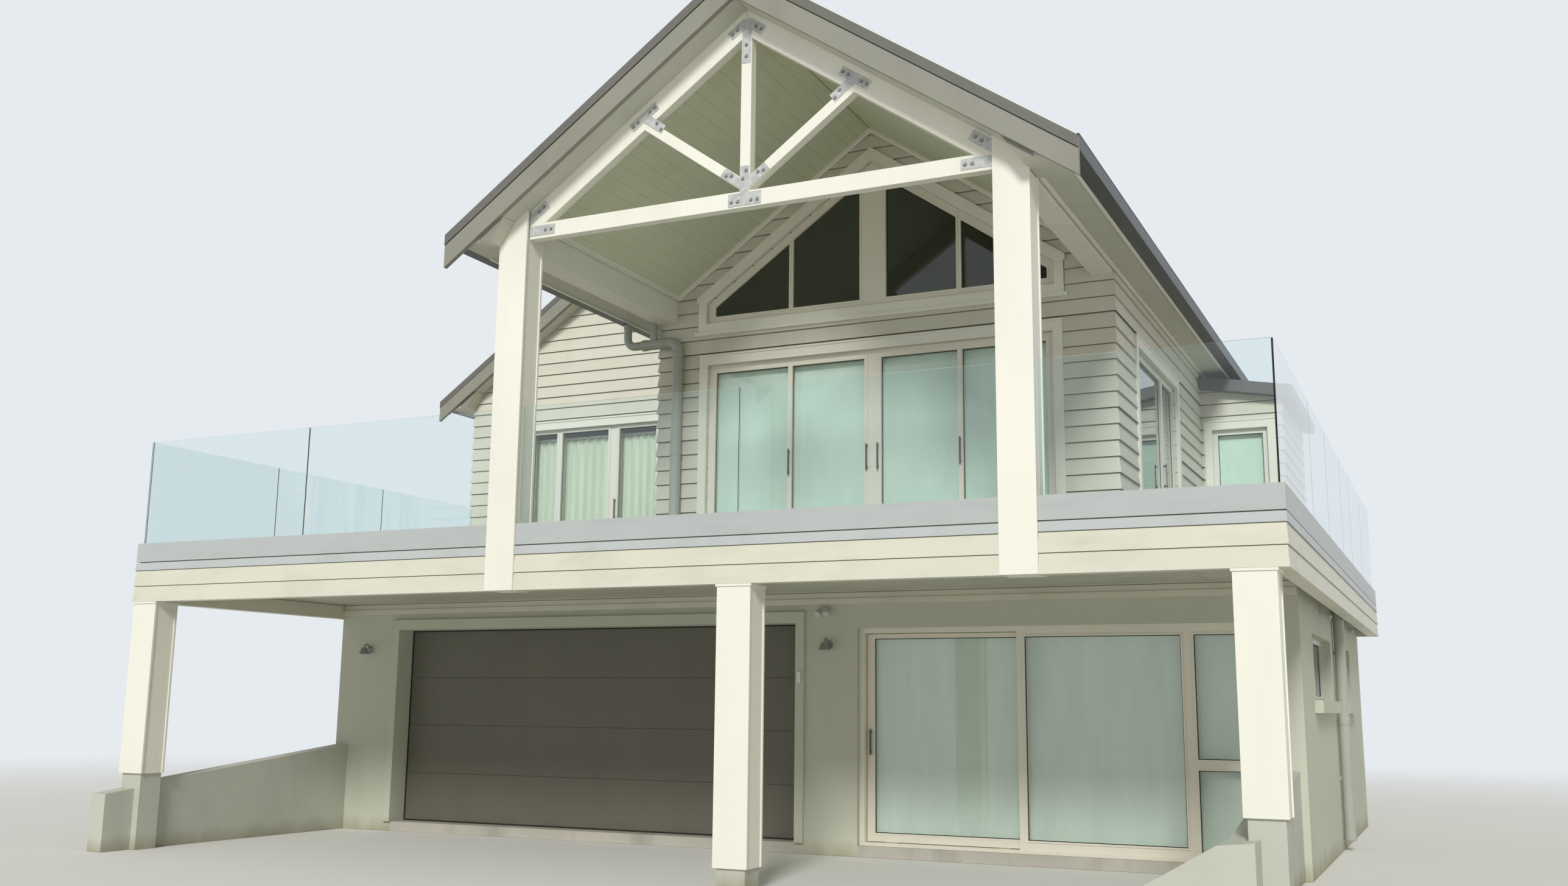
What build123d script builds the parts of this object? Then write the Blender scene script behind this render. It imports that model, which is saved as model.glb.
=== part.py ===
import math
import os

from build123d import *

os.makedirs("parts", exist_ok=True)

# Beach house on two storeys: a plastered lower floor with garage and glazed bay,
# a timber deck over it, and two weatherboard gables on the deck.
# Lengths in millimetres. x from the main ridge line, y back from the deck's front
# face, z up from the lowest ground; everything is centred at the end.

# Plan
deck_left = 6560.0
deck_right = 4080.0
deck_depth = 9650.0
lower_setback = 2900.0
lower_right_inset = 242.0
gable_setback = 2820.0
gable_half = 2385.0
wing_setback = 5180.0
bay_setback = 7400.0
bay_reach = 915.0

# Levels
slab_top = 100.0
fascia_bottom = 2310.0
board_cover = 150.0
band_height = 94.0
shadow_gap = 10.0
cap_height = 159.0
soffit_drop = 165.0
deck_board = 44.0
glass_rise = 1010.0

# Walls
lower_wall = 220.0
upper_wall = 150.0
cladding = 20.0
facing_width = 90.0
facing_thick = 32.0
facing_cap = 18.0
facing_cap_proud = 10.0
sill_nosing = 38.0
sill_nosing_reach = 34.0
sill_nosing_proud = 16.0

# Roofs: the plates are where the ceilings meet the outer faces of the side walls
pitch = 35.0
plate_level = 5460.0
wing_plate_drop = 162.0
roof_depth = 270.0
eave_reach = 315.0
eave_drop = 115.0
wing_eave_reach = 278.0
wing_eave_drop = 108.0
gutter_width = 122.0
gutter_height = 125.0
gutter_wall = 6.0
front_reach = 210.0
wing_reach = 205.0
rear_reach = 250.0
barge_thick = 45.0
barge_depth = 207.0
flashing_depth = 91.0
flashing_proud = 7.0
ridge_cap_half = 160.0
ridge_cap_rise = 28.0

# Lower front
left_pier = 860.0
garage_opening = 4875.0
middle_pier = 638.0
right_pier = 338.0
garage_head = 2177.0
bay_head = 2122.0
bay_recess = 60.0
bay_frame_depth = 120.0
box_beam_depth = 100.0
box_beam_drop = 129.0

# Porch posts and truss
tall_post_step = 273.0
tall_post_width = 286.0
tall_post_proud = 30.0
tall_post_depth = 260.0
truss_front = 15.0
truss_thick = 90.0
rafter_depth = 195.0
chord_drop = 75.0
chord_depth = 140.0
king_half = 47.0
strut_width = 90.0
strut_angle = 36.0
strut_foot = 75.0
plate_thick = 6.0
eave_beam_width = 195.0
eave_beam_drop = 145.0

# Lower posts and walls in the ground
post_width = 292.0
post_depth = 270.0
plinth_inset = 25.0
plinth_back = 8.0
left_post_foot = 695.0
centre_post_foot = 162.0
right_post_foot = 682.0
centre_post_offset = 641.0
right_post_inset = 72.0

# Balustrade
pane_thick = 12.0
pane_setback = 34.0
pane_gap = 12.0
pane_post_gap = 6.0

# Sliding leaf
leaf_gap = 6.0
leaf_seat = 0.3
leaf_depth = 40.0
leaf_stile = 78.0
jamb_width = 50.0
rail_depth = 42.0
sill_height = 30.0
bottom_rail = 78.0
glass_thick = 12.0

slope = math.tan(math.radians(pitch))
rake = 1 / math.cos(math.radians(pitch))

boards_top = fascia_bottom + 2 * board_cover + 2
band_top = boards_top + band_height
floor_top = band_top + shadow_gap
cap_top = floor_top + cap_height
deck_top = floor_top + deck_board
soffit = fascia_bottom + soffit_drop
glass_top = cap_top + glass_rise

lower_right = deck_right - lower_right_inset
lower_inner = lower_setback + lower_wall
garage_left = -deck_left + left_pier
garage_right = garage_left + garage_opening
bay_left = garage_right + middle_pier
bay_right = lower_right - right_pier

wing_ridge = -(deck_left + gable_half) / 2
wing_plate = plate_level - wing_plate_drop
ceiling_ridge = plate_level + slope * gable_half
wing_ceiling_ridge = wing_plate + slope * (deck_left - gable_half) / 2
eave_soffit = plate_level - eave_drop
wing_eave_soffit = wing_plate - wing_eave_drop
tall_post_inner = gable_half - tall_post_step
chord_bottom = plate_level - chord_drop
eave_beam_bottom = plate_level - eave_beam_drop
roof_ridge = ceiling_ridge + roof_depth
wing_roof_ridge = wing_ceiling_ridge + roof_depth
valley = -(ceiling_ridge - wing_ceiling_ridge - slope * wing_ridge) / (2 * slope)
eave = gable_half + eave_reach
wing_eave = -deck_left - wing_eave_reach
roof_back = deck_depth + rear_reach
wing_roof_front = wing_setback - wing_reach


def main_under(x):
    return ceiling_ridge - slope * abs(x)


def main_over(x):
    return roof_ridge - slope * abs(x)


def wing_under(x):
    return wing_ceiling_ridge - slope * abs(x - wing_ridge)


def wing_over(x):
    return wing_roof_ridge - slope * abs(x - wing_ridge)


def block(x0, x1, y0, y1, z0, z1):
    centre = Pos((x0 + x1) / 2, (y0 + y1) / 2, (z0 + z1) / 2)
    return centre * Box(abs(x1 - x0), abs(y1 - y0), abs(z1 - z0))


def along_y(points, y0, y1):
    # A shape drawn on the front view and run back from y0 to y1.
    outline = Polyline(*[(x, y0, z) for x, z in points], close=True)
    return extrude(make_face(outline), amount=y1 - y0, dir=(0, 1, 0))


def along_x(points, x0, x1):
    # A shape drawn on the side view and run across from x0 to x1.
    outline = Polyline(*[(x0, y, z) for y, z in points], close=True)
    return extrude(make_face(outline), amount=x1 - x0, dir=(1, 0, 0))


def ring(inset, width, z0, z1):
    # A band round the deck's edge, its outer face inset from the deck's outline.
    outer = block(-deck_left + inset, deck_right - inset, inset, deck_depth - inset, z0, z1)
    inner = inset + width
    return outer - block(
        -deck_left + inner, deck_right - inner, inner, deck_depth - inner, z0 - 1, z1 + 1
    )


def tall_post_outline(side):
    # The post's top follows the ceiling and steps under the boxed eave.
    inner = side * tall_post_inner
    outer = side * (tall_post_inner + tall_post_width)
    wall = side * gable_half
    return [
        (inner, fascia_bottom),
        (outer, fascia_bottom),
        (outer, eave_soffit),
        (wall, eave_soffit),
        (wall, main_under(wall)),
        (inner, main_under(inner)),
    ]


def tall_posts():
    front = -tall_post_proud
    back = front + tall_post_depth
    left = along_y(tall_post_outline(-1), front, back)
    return left + along_y(tall_post_outline(1), front, back)


def ground_slab():
    inner = block(
        -deck_left + cladding + lower_wall,
        lower_right - lower_wall,
        lower_inner,
        deck_depth - cladding - lower_wall,
        0,
        slab_top,
    )
    garage_sill = block(garage_left, garage_right, lower_setback, lower_inner, 0, slab_top)
    bay_sill = block(bay_left, bay_right, lower_setback, lower_inner, 0, slab_top)
    return inner + garage_sill + bay_sill


def front_pier(x0, x1):
    return block(x0, x1, lower_setback, lower_inner, 0, soffit)


def front_lintels():
    garage = block(garage_left, garage_right, lower_setback, lower_inner, garage_head, soffit)
    bay = block(bay_left, bay_right, lower_setback, lower_inner, bay_head, soffit)
    return garage + bay


def box_beam():
    # Boxed beam in front of the wall head, its lower board standing a little proud.
    face = lower_setback - box_beam_depth
    bottom = soffit - box_beam_drop
    lip = 12.0
    lip_height = 53.0
    section = [
        (lower_setback, bottom),
        (lower_setback, soffit),
        (face, soffit),
        (face, bottom + lip_height),
        (face - lip, bottom + lip_height),
        (face - lip, bottom),
    ]
    return along_x(section, -deck_left + cladding, lower_right)


# Lower windows on the right: places, widths, sill height and head height
side_window_offset = 1000.0
side_window_spacing = 2950.0
side_window_near = lower_setback + side_window_offset
side_window_width = 1810.0
side_window_far = side_window_near + side_window_spacing
side_window_far_width = 1290.0
side_window_sill = 1474.0
side_window_head = 2070.0


def side_window_spans():
    near = (side_window_near, side_window_near + side_window_width)
    far = (side_window_far, side_window_far + side_window_far_width)
    return [near, far]


def lower_right_wall():
    wall = block(
        lower_right - lower_wall, lower_right, lower_inner, deck_depth - cladding, 0, soffit
    )
    for y0, y1 in side_window_spans():
        wall -= block(
            lower_right - lower_wall - 1, lower_right + 1, y0, y1, side_window_sill, side_window_head
        )
    return wall


def lower_left_wall():
    face = -deck_left + cladding
    return block(face, face + lower_wall, lower_inner, deck_depth - cladding, 0, soffit)


# Lower windows at the back: centres measured from the left wall
back_window_width = 1500.0
back_window_first = 2300.0
back_window_second = 7600.0


def back_window_spans():
    spans = []
    for middle in (back_window_first, back_window_second):
        centre = -deck_left + middle
        spans.append((centre - back_window_width / 2, centre + back_window_width / 2))
    return spans


def lower_back_wall():
    back = deck_depth - cladding
    wall = block(
        -deck_left + cladding + lower_wall,
        lower_right - lower_wall,
        back - lower_wall,
        back,
        0,
        soffit,
    )
    for x0, x1 in back_window_spans():
        wall -= block(
            x0, x1, back - lower_wall - 1, back + 1, side_window_sill, side_window_head
        )
    return wall


def post_lefts():
    right = deck_right - right_post_inset - post_width
    return [-deck_left, garage_right + centre_post_offset, right]


def post_feet():
    return [left_post_foot, centre_post_foot, right_post_foot]


def lower_posts():
    # Boxed posts with a thin trim under the deck's edge.
    trim = 10.0
    trim_height = 20.0
    solids = []
    for left, foot in zip(post_lefts(), post_feet()):
        shaft = block(left, left + post_width, 0, post_depth, foot, fascia_bottom)
        collar = block(
            left - trim if left > -deck_left else left,
            left + post_width + trim,
            -trim,
            post_depth + trim,
            fascia_bottom - trim_height,
            fascia_bottom,
        )
        solids.append(shaft + collar)
    return solids


def post_plinths():
    solids = []
    for left, foot in zip(post_lefts(), post_feet()):
        solids.append(
            block(
                left + plinth_inset,
                left + post_width - plinth_inset,
                plinth_inset,
                post_depth - plinth_back,
                0,
                foot,
            )
        )
    return solids


# Low walls that hold the bank: one behind each outer post, and a short one in front
low_wall_width = 176.0
low_wall_start = 613.0
low_wall_end = 913.0
left_stub_reach = 295.0
left_stub_low = 519.0
left_stub_high = 558.0
right_wing_depth = 292.0
right_wing_step = 103.0
right_wing_level = 545.0
right_wing_flat = 240.0
right_wing_run = 820.0
right_wing_shoulder = 522.0
right_wing_toe = 45.0
right_wall_step = 112.0
right_wall_start = 524.0
right_wall_end = 885.0


def bank_wall(x0, front, start, end):
    # A wall that runs back to the house, its top rising with the bank.
    section = [(front, 0), (lower_setback, 0), (lower_setback, end), (front, start)]
    return along_x(section, x0, x0 + low_wall_width)


def left_retaining_wall():
    face = -deck_left + cladding
    back = bank_wall(face, post_depth - plinth_back, low_wall_start, low_wall_end)
    stub = [
        (-left_stub_reach, 0),
        (plinth_inset, 0),
        (plinth_inset, left_stub_high),
        (-left_stub_reach, left_stub_low),
    ]
    return [back, along_x(stub, face, face + low_wall_width)]


def right_stub_wall():
    # The wing in front of the post falls away to the left; the wall behind joins it.
    post = post_lefts()[2]
    right = post + right_wing_step
    shoulder = right - right_wing_flat
    toe = shoulder - right_wing_run
    wing = along_y(
        [
            (toe, 0),
            (right, 0),
            (right, right_wing_level),
            (shoulder, right_wing_shoulder),
            (toe, right_wing_toe),
        ],
        plinth_inset - right_wing_depth,
        plinth_inset,
    )
    wall = bank_wall(post - right_wall_step, plinth_inset, right_wall_start, right_wall_end)
    wall -= block(
        post + plinth_inset, post + post_width, 0, post_depth - plinth_back, -1, right_wall_end
    )
    return wing + wall


def cut_for_posts(solid):
    front = -tall_post_proud
    back = front + tall_post_depth
    for side in (-1, 1):
        x0 = side * tall_post_inner
        x1 = side * (tall_post_inner + tall_post_width)
        solid -= block(min(x0, x1), max(x0, x1), front - 50, back, 0, glass_top)
    return solid


def floor_structure():
    inset = cladding
    return cut_for_posts(
        block(
            -deck_left + inset, deck_right - inset, inset, deck_depth - inset, soffit, floor_top
        )
    )


def rim_beam():
    # Beam behind the fascia where it hangs below the soffit.
    width = 90.0
    outer = cladding
    front = block(
        -deck_left + outer, deck_right - outer, outer, outer + width, fascia_bottom, soffit
    )
    left = block(
        -deck_left + outer,
        -deck_left + outer + width,
        outer,
        lower_setback - box_beam_depth - 12,
        fascia_bottom,
        soffit,
    )
    right = block(
        deck_right - outer - width,
        deck_right - outer,
        outer,
        deck_depth - outer,
        fascia_bottom,
        soffit,
    )
    back = block(
        lower_right, deck_right - outer, deck_depth - outer - width, deck_depth - outer,
        fascia_bottom, soffit,
    )
    return cut_for_posts(front + left + right + back)


def fascia_boards():
    # Two boards with a shadow line where the upper one laps the lower.
    lap = 6.0
    lower = ring(0, cladding, fascia_bottom, fascia_bottom + board_cover - lap)
    line = ring(lap, cladding - lap, fascia_bottom + board_cover - lap, fascia_bottom + board_cover)
    upper = ring(0, cladding, fascia_bottom + board_cover, boards_top)
    return cut_for_posts(lower + line + upper)


def fascia_band():
    # A flat band with a small lip along its foot, and the recess above it.
    proud = 8.0
    lip = 5.0
    lip_height = 12.0
    recess = 12.0
    band = ring(-proud, cladding + proud, boards_top, band_top)
    foot = ring(-proud - lip, cladding + proud + lip, boards_top, boards_top + lip_height)
    gap = ring(recess, cladding - recess, band_top, floor_top)
    return cut_for_posts(band + foot + gap)


cap_width = 126.0
cap_proud = 6.0


def deck_cap():
    # The raised edge that carries the glass; it stops at the wing and the rear bay.
    cap = ring(-cap_proud, cap_width, floor_top, cap_top)
    cap -= block(
        -deck_left - 50, gable_half + bay_reach, wing_setback, deck_depth + 50, 0, glass_top
    )
    return cut_for_posts(cap)


def house_outline():
    wing = block(
        -deck_left, -gable_half, wing_setback, deck_depth, floor_top, deck_top
    )
    main = block(-gable_half, gable_half, gable_setback, deck_depth, floor_top, deck_top)
    bay = block(
        gable_half, gable_half + bay_reach, bay_setback, deck_depth, floor_top, deck_top
    )
    return wing + main + bay


def inner_floor():
    inset = upper_wall
    wing = block(
        -deck_left + inset, -gable_half, wing_setback + inset, deck_depth - inset, floor_top, deck_top
    )
    main = block(
        -gable_half + inset, gable_half - inset, gable_setback + inset, deck_depth - inset,
        floor_top, deck_top,
    )
    link = block(
        -gable_half, -gable_half + inset, wing_setback + inset, deck_depth - inset,
        floor_top, deck_top,
    )
    return wing + main + link


def deck_boards():
    edge = cap_width - cap_proud
    boards = block(
        -deck_left + edge, deck_right - edge, edge, deck_depth, floor_top, deck_top
    )
    boards -= block(
        gable_half, deck_right, deck_depth - edge, deck_depth + 1, floor_top - 1, deck_top + 1
    )
    return cut_for_posts(boards - house_outline())


# Upper doors in the gable wall
upper_door_margin = 570.0
upper_door_drop = 625.0
gable_window_margin = 545.0
gable_window_drop = 340.0
upper_door_half = gable_half - upper_door_margin
upper_door_head = plate_level - upper_door_drop
gable_window_half = gable_half - gable_window_margin
gable_window_apex = ceiling_ridge - gable_window_drop
gable_window_shoulder = 222.0
gable_window_sill = gable_window_apex - slope * gable_window_half - gable_window_shoulder


def gable_window_outline(grow):
    half = gable_window_half + grow
    apex = gable_window_apex + grow * rake
    shoulder = apex - slope * half
    return [
        (-half, gable_window_sill - grow),
        (half, gable_window_sill - grow),
        (half, shoulder),
        (0, apex),
        (-half, shoulder),
    ]


def gable_wall():
    outline = [
        (-gable_half, floor_top),
        (gable_half, floor_top),
        (gable_half, main_under(gable_half)),
        (0, ceiling_ridge),
        (-gable_half, main_under(gable_half)),
    ]
    back = gable_setback + upper_wall
    wall = along_y(outline, gable_setback, back)
    wall -= block(
        -upper_door_half, upper_door_half, gable_setback - 1, back + 1, floor_top - 1,
        upper_door_head,
    )
    return wall - along_y(gable_window_outline(0), gable_setback - 1, back + 1)


def door_facing(x0, x1, wall):
    # Boards on both sides of a door and over it, under a thin projecting cap.
    front = wall - facing_thick
    left = x0 - facing_width
    right = x1 + facing_width
    head = upper_door_head + facing_width
    boards = block(left, right, front, wall, deck_top, head)
    boards -= block(x0, x1, front - 1, wall + 1, deck_top - 1, upper_door_head)
    return boards + block(
        left - facing_cap_proud, right + facing_cap_proud, front - facing_cap_proud, wall,
        head, head + facing_cap,
    )


def raked_facing():
    # Boards round the raked window, with a cap on the rakes and a nosing under the sill.
    front = gable_setback - facing_thick
    outer = gable_window_half + facing_width
    low = gable_window_sill - facing_width
    boards = along_y(gable_window_outline(facing_width), front, gable_setback)
    boards -= along_y(gable_window_outline(0), front - 1, gable_setback + 1)
    cap = along_y(
        gable_window_outline(facing_width + facing_cap), front - facing_cap_proud, gable_setback
    )
    cap -= along_y(
        gable_window_outline(facing_width), front - facing_cap_proud - 1, gable_setback + 1
    )
    shoulder = gable_window_sill + gable_window_shoulder
    cap -= block(
        -2 * outer, 2 * outer, front - 2 * facing_thick, gable_setback + 1, 0, shoulder
    )
    nosing = block(
        -outer - sill_nosing_reach, outer + sill_nosing_reach, front - sill_nosing_proud,
        gable_setback, low - sill_nosing, low,
    )
    return boards + cap + nosing


def gable_facings():
    return [door_facing(-upper_door_half, upper_door_half, gable_setback), raked_facing()]


# Side slider on the right of the main gable
slider_offset = 909.0
slider_width = 2048.0
slider_first_leaf = 1373.0
header_drop = 500.0
slider_near = gable_setback + slider_offset
slider_far = slider_near + slider_width
slider_mullion = slider_near + slider_first_leaf
header_bottom = plate_level - header_drop


def upper_right_wall():
    inner = gable_half - upper_wall
    outline = [
        (inner, floor_top),
        (gable_half, floor_top),
        (gable_half, main_under(gable_half)),
        (inner, main_under(inner)),
    ]
    wall = along_y(outline, gable_setback + upper_wall, deck_depth - upper_wall)
    wall -= block(
        inner - 1, gable_half + 1, slider_near, slider_far, floor_top - 1, upper_door_head
    )
    return wall - block(
        inner - 1,
        gable_half + 1,
        bay_setback + upper_wall,
        deck_depth,
        floor_top - 1,
        header_bottom,
    )


def upper_left_wall():
    inner = -gable_half + upper_wall
    outline = [
        (-gable_half, floor_top),
        (inner, floor_top),
        (inner, main_under(inner)),
        (-gable_half, main_under(gable_half)),
    ]
    return along_y(outline, gable_setback + upper_wall, wing_setback + upper_wall)


def valley_beam():
    # Carries the two roofs where they meet over the open room.
    half = 75.0
    drop = 148.0
    bottom = wing_plate - drop
    outline = [
        (valley - half, bottom),
        (valley + half, bottom),
        (valley + half, main_under(valley + half)),
        (valley, main_under(valley)),
        (valley - half, wing_under(valley - half)),
    ]
    return along_y(outline, wing_setback + upper_wall, deck_depth - upper_wall)


# Windows at the back of the upper floor
rear_sill_height = 940.0
rear_window_sill = deck_top + rear_sill_height
rear_window_half = 1200.0
wing_rear_window_half = 800.0


def upper_back_wall():
    outline = [
        (-deck_left, floor_top),
        (gable_half, floor_top),
        (gable_half, main_under(gable_half)),
        (0, ceiling_ridge),
        (valley, main_under(valley)),
        (wing_ridge, wing_ceiling_ridge),
        (-deck_left, wing_under(-deck_left)),
    ]
    front = deck_depth - upper_wall
    wall = along_y(outline, front, deck_depth)
    for middle, half in rear_windows():
        wall -= block(
            middle - half, middle + half, front - 1, deck_depth + 1, rear_window_sill,
            upper_door_head,
        )
    return wall


def rear_windows():
    return [(0, rear_window_half), (wing_ridge, wing_rear_window_half)]


# Wing slider, counted from the wing's left corner
wing_door_offset = 890.0
wing_door_width = 1900.0
wing_side_offset = 1620.0
wing_side_width = 1400.0
wing_door_left = -deck_left + wing_door_offset
wing_door_right = wing_door_left + wing_door_width
wing_side_near = wing_setback + wing_side_offset
wing_side_far = wing_side_near + wing_side_width


def wing_front_wall():
    outline = [
        (-deck_left, floor_top),
        (-gable_half, floor_top),
        (-gable_half, main_under(gable_half)),
        (valley, main_under(valley)),
        (wing_ridge, wing_ceiling_ridge),
        (-deck_left, wing_under(-deck_left)),
    ]
    back = wing_setback + upper_wall
    wall = along_y(outline, wing_setback, back)
    return wall - block(
        wing_door_left, wing_door_right, wing_setback - 1, back + 1, floor_top - 1, upper_door_head
    )


def wing_facings():
    return door_facing(wing_door_left, wing_door_right, wing_setback)


def wing_left_wall():
    inner = -deck_left + upper_wall
    outline = [
        (-deck_left, floor_top),
        (inner, floor_top),
        (inner, wing_under(inner)),
        (-deck_left, wing_under(-deck_left)),
    ]
    wall = along_y(outline, wing_setback + upper_wall, deck_depth - upper_wall)
    return wall - block(
        -deck_left - 1, inner + 1, wing_side_near, wing_side_far, rear_window_sill, upper_door_head
    )


# Rear bay beside the main gable, under a low roof
bay_roof_drop = 170.0
bay_roof_slope = 0.176
bay_roof_depth = 140.0
bay_roof_reach = 150.0
bay_sill_height = 240.0
bay_head_drop = 640.0
bay_window_margin = 135.0
bay_roof_high = plate_level - bay_roof_drop
bay_window_sill = deck_top + bay_sill_height
bay_window_head = bay_roof_high - bay_head_drop
bay_window_left = gable_half + bay_window_margin
bay_window_right = gable_half + bay_reach - upper_wall


def bay_over(x):
    return bay_roof_high - bay_roof_slope * (x - gable_half)


def bay_under(x):
    return bay_over(x) - bay_roof_depth


def rear_bay_walls():
    outer = gable_half + bay_reach
    inner = outer - upper_wall
    across = [
        (gable_half, floor_top),
        (outer, floor_top),
        (outer, bay_under(outer)),
        (gable_half, bay_under(gable_half)),
    ]
    walls = along_y(across, bay_setback, deck_depth)
    room = [
        (gable_half - 1, floor_top - 1),
        (inner, floor_top - 1),
        (inner, bay_under(gable_half) + 1),
        (gable_half - 1, bay_under(gable_half) + 1),
    ]
    walls -= along_y(room, bay_setback + upper_wall, deck_depth - upper_wall)
    return walls - block(
        bay_window_left, bay_window_right, bay_setback - 1, bay_setback + upper_wall + 1,
        bay_window_sill, bay_window_head,
    )


def rear_bay_floor():
    outer = gable_half + bay_reach - upper_wall
    return block(
        gable_half - upper_wall,
        outer,
        bay_setback + upper_wall,
        deck_depth - upper_wall,
        floor_top,
        deck_top,
    )


def rear_bay_roof():
    outer = gable_half + bay_reach + bay_roof_reach
    section = [
        (gable_half, bay_under(gable_half)),
        (outer, bay_under(outer)),
        (outer, bay_over(outer)),
        (gable_half, bay_over(gable_half)),
    ]
    return along_y(section, bay_setback - bay_roof_reach, deck_depth + bay_roof_reach)


def roof_section(side):
    wall = side * gable_half
    edge = side * eave
    return [
        (0, ceiling_ridge),
        (wall, main_under(wall)),
        (wall, eave_soffit),
        (edge, eave_soffit),
        (edge, main_over(edge)),
        (0, roof_ridge),
    ]


def roof_right():
    return along_y(roof_section(1), -front_reach, roof_back)


def roof_left():
    # The eave stops at the wing; behind it the slope ends in the valley.
    front = along_y(roof_section(-1), -front_reach, wing_roof_front)
    section = [
        (0, ceiling_ridge),
        (valley, main_under(valley)),
        (valley, main_over(valley)),
        (0, roof_ridge),
    ]
    return front + along_y(section, wing_roof_front, roof_back)


def wing_roof():
    wall = -deck_left
    section = [
        (valley, wing_under(valley)),
        (valley, wing_over(valley)),
        (wing_ridge, wing_roof_ridge),
        (wing_eave, wing_over(wing_eave)),
        (wing_eave, wing_eave_soffit),
        (wall, wing_eave_soffit),
        (wall, wing_under(wall)),
        (wing_ridge, wing_ceiling_ridge),
    ]
    return along_y(section, wing_roof_front, roof_back)


def chevron(half, top, depth, y0, y1):
    low = top - slope * half
    outline = [
        (-half, low - depth),
        (0, top - depth),
        (half, low - depth),
        (half, low),
        (0, top),
        (-half, low),
    ]
    return along_y(outline, y0, y1)


barge_top = ceiling_ridge - 12 + barge_depth


def front_barge():
    half = eave + gutter_width
    return chevron(half, barge_top, barge_depth, -front_reach - barge_thick, -front_reach)


def front_flashing():
    half = eave + gutter_width
    front = -front_reach - barge_thick - flashing_proud
    return chevron(half, barge_top + flashing_depth, flashing_depth, front, -front_reach)


def ridge_caps():
    main = chevron(
        ridge_cap_half, roof_ridge + ridge_cap_rise, ridge_cap_rise, -front_reach, roof_back
    )
    wing = Pos(wing_ridge, 0, 0) * chevron(
        ridge_cap_half, wing_roof_ridge + ridge_cap_rise, ridge_cap_rise, wing_roof_front, roof_back
    )
    return [main, wing]


wing_barge_depth = 180.0
wing_flashing_depth = 80.0
wing_barge_top = wing_ceiling_ridge + 10 + wing_barge_depth


def wing_meet(top):
    # Where a raked line over the wing comes down on the main roof.
    return -(roof_ridge - top - slope * wing_ridge) / (2 * slope)


def wing_rake(top, depth, y0, y1):
    left = -deck_left - wing_eave_reach - gutter_width
    fall = slope * (wing_ridge - left)
    low = top - depth
    upper = wing_meet(top)
    lower = wing_meet(low)
    outline = [
        (left, low - fall),
        (wing_ridge, low),
        (lower, main_over(lower)),
        (upper, main_over(upper)),
        (wing_ridge, top),
        (left, top - fall),
    ]
    return along_y(outline, y0, y1)


def wing_barge():
    return wing_rake(
        wing_barge_top, wing_barge_depth, wing_roof_front - barge_thick, wing_roof_front
    )


def wing_flashing():
    return wing_rake(
        wing_barge_top + wing_flashing_depth,
        wing_flashing_depth,
        wing_roof_front - barge_thick - flashing_proud,
        wing_roof_front,
    )


def rear_barge():
    depth = barge_depth + flashing_depth
    right = eave + gutter_width
    left = -deck_left - wing_eave_reach - gutter_width
    tops = [
        (right, main_over(right)),
        (0, roof_ridge),
        (valley, main_over(valley)),
        (wing_ridge, wing_roof_ridge),
        (left, wing_over(left)),
    ]
    lows = [(x, z - depth) for x, z in reversed(tops)]
    return along_y(tops + lows, roof_back, roof_back + barge_thick)


def gutter(x0, x1, y0, y1, bottom):
    outer = block(x0, x1, y0, y1, bottom, bottom + gutter_height)
    return outer - block(
        x0 + gutter_wall,
        x1 - gutter_wall,
        y0 + gutter_wall,
        y1 - gutter_wall,
        bottom + gutter_wall,
        bottom + gutter_height + 1,
    )


def eave_gutters():
    right = gutter(eave, eave + gutter_width, -front_reach, roof_back, eave_soffit)
    left = gutter(-eave - gutter_width, -eave, -front_reach, wing_roof_front, eave_soffit)
    wing = gutter(
        wing_eave - gutter_width, wing_eave, wing_roof_front, roof_back, wing_eave_soffit
    )
    return [right, left, wing]


def truss_rafters():
    depth = rafter_depth * rake
    return chevron(
        tall_post_inner, ceiling_ridge, depth, truss_front, truss_front + truss_thick
    )


rafter_low = ceiling_ridge - rafter_depth * rake
chord_top = chord_bottom + chord_depth


def truss_chord():
    end = tall_post_inner
    meet = (rafter_low - chord_top) / slope
    heel = rafter_low - slope * end
    outline = [
        (-end, chord_bottom),
        (end, chord_bottom),
        (end, heel),
        (meet, chord_top),
        (-meet, chord_top),
        (-end, heel),
    ]
    return along_y(outline, truss_front, truss_front + truss_thick)


def truss_king_post():
    outline = [
        (-king_half, chord_top),
        (king_half, chord_top),
        (king_half, rafter_low - slope * king_half),
        (0, rafter_low),
        (-king_half, rafter_low - slope * king_half),
    ]
    return along_y(outline, truss_front, truss_front + truss_thick)


def strut_outline(side):
    lean = math.tan(math.radians(strut_angle))
    half = strut_width / 2 / math.cos(math.radians(strut_angle))
    foot = chord_top + strut_foot
    points = []
    for offset in (-half, half):
        reach = (rafter_low - foot - offset + lean * king_half) / (lean + slope)
        points.append((reach, rafter_low - slope * reach))
    outline = [
        (king_half, foot - half),
        points[0],
        points[1],
        (king_half, foot + half),
    ]
    return [(side * x, z) for x, z in outline]


def truss_struts():
    back = truss_front + truss_thick
    return [
        along_y(strut_outline(-1), truss_front, back),
        along_y(strut_outline(1), truss_front, back),
    ]


def bar(x0, z0, x1, z1, width, y0, y1):
    # A flat steel strap between two points of the front view.
    length = math.hypot(x1 - x0, z1 - z0)
    nx = -(z1 - z0) / length * width / 2
    nz = (x1 - x0) / length * width / 2
    outline = [(x0 + nx, z0 + nz), (x1 + nx, z1 + nz), (x1 - nx, z1 - nz), (x0 - nx, z0 - nz)]
    return along_y(outline, y0, y1)


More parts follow.
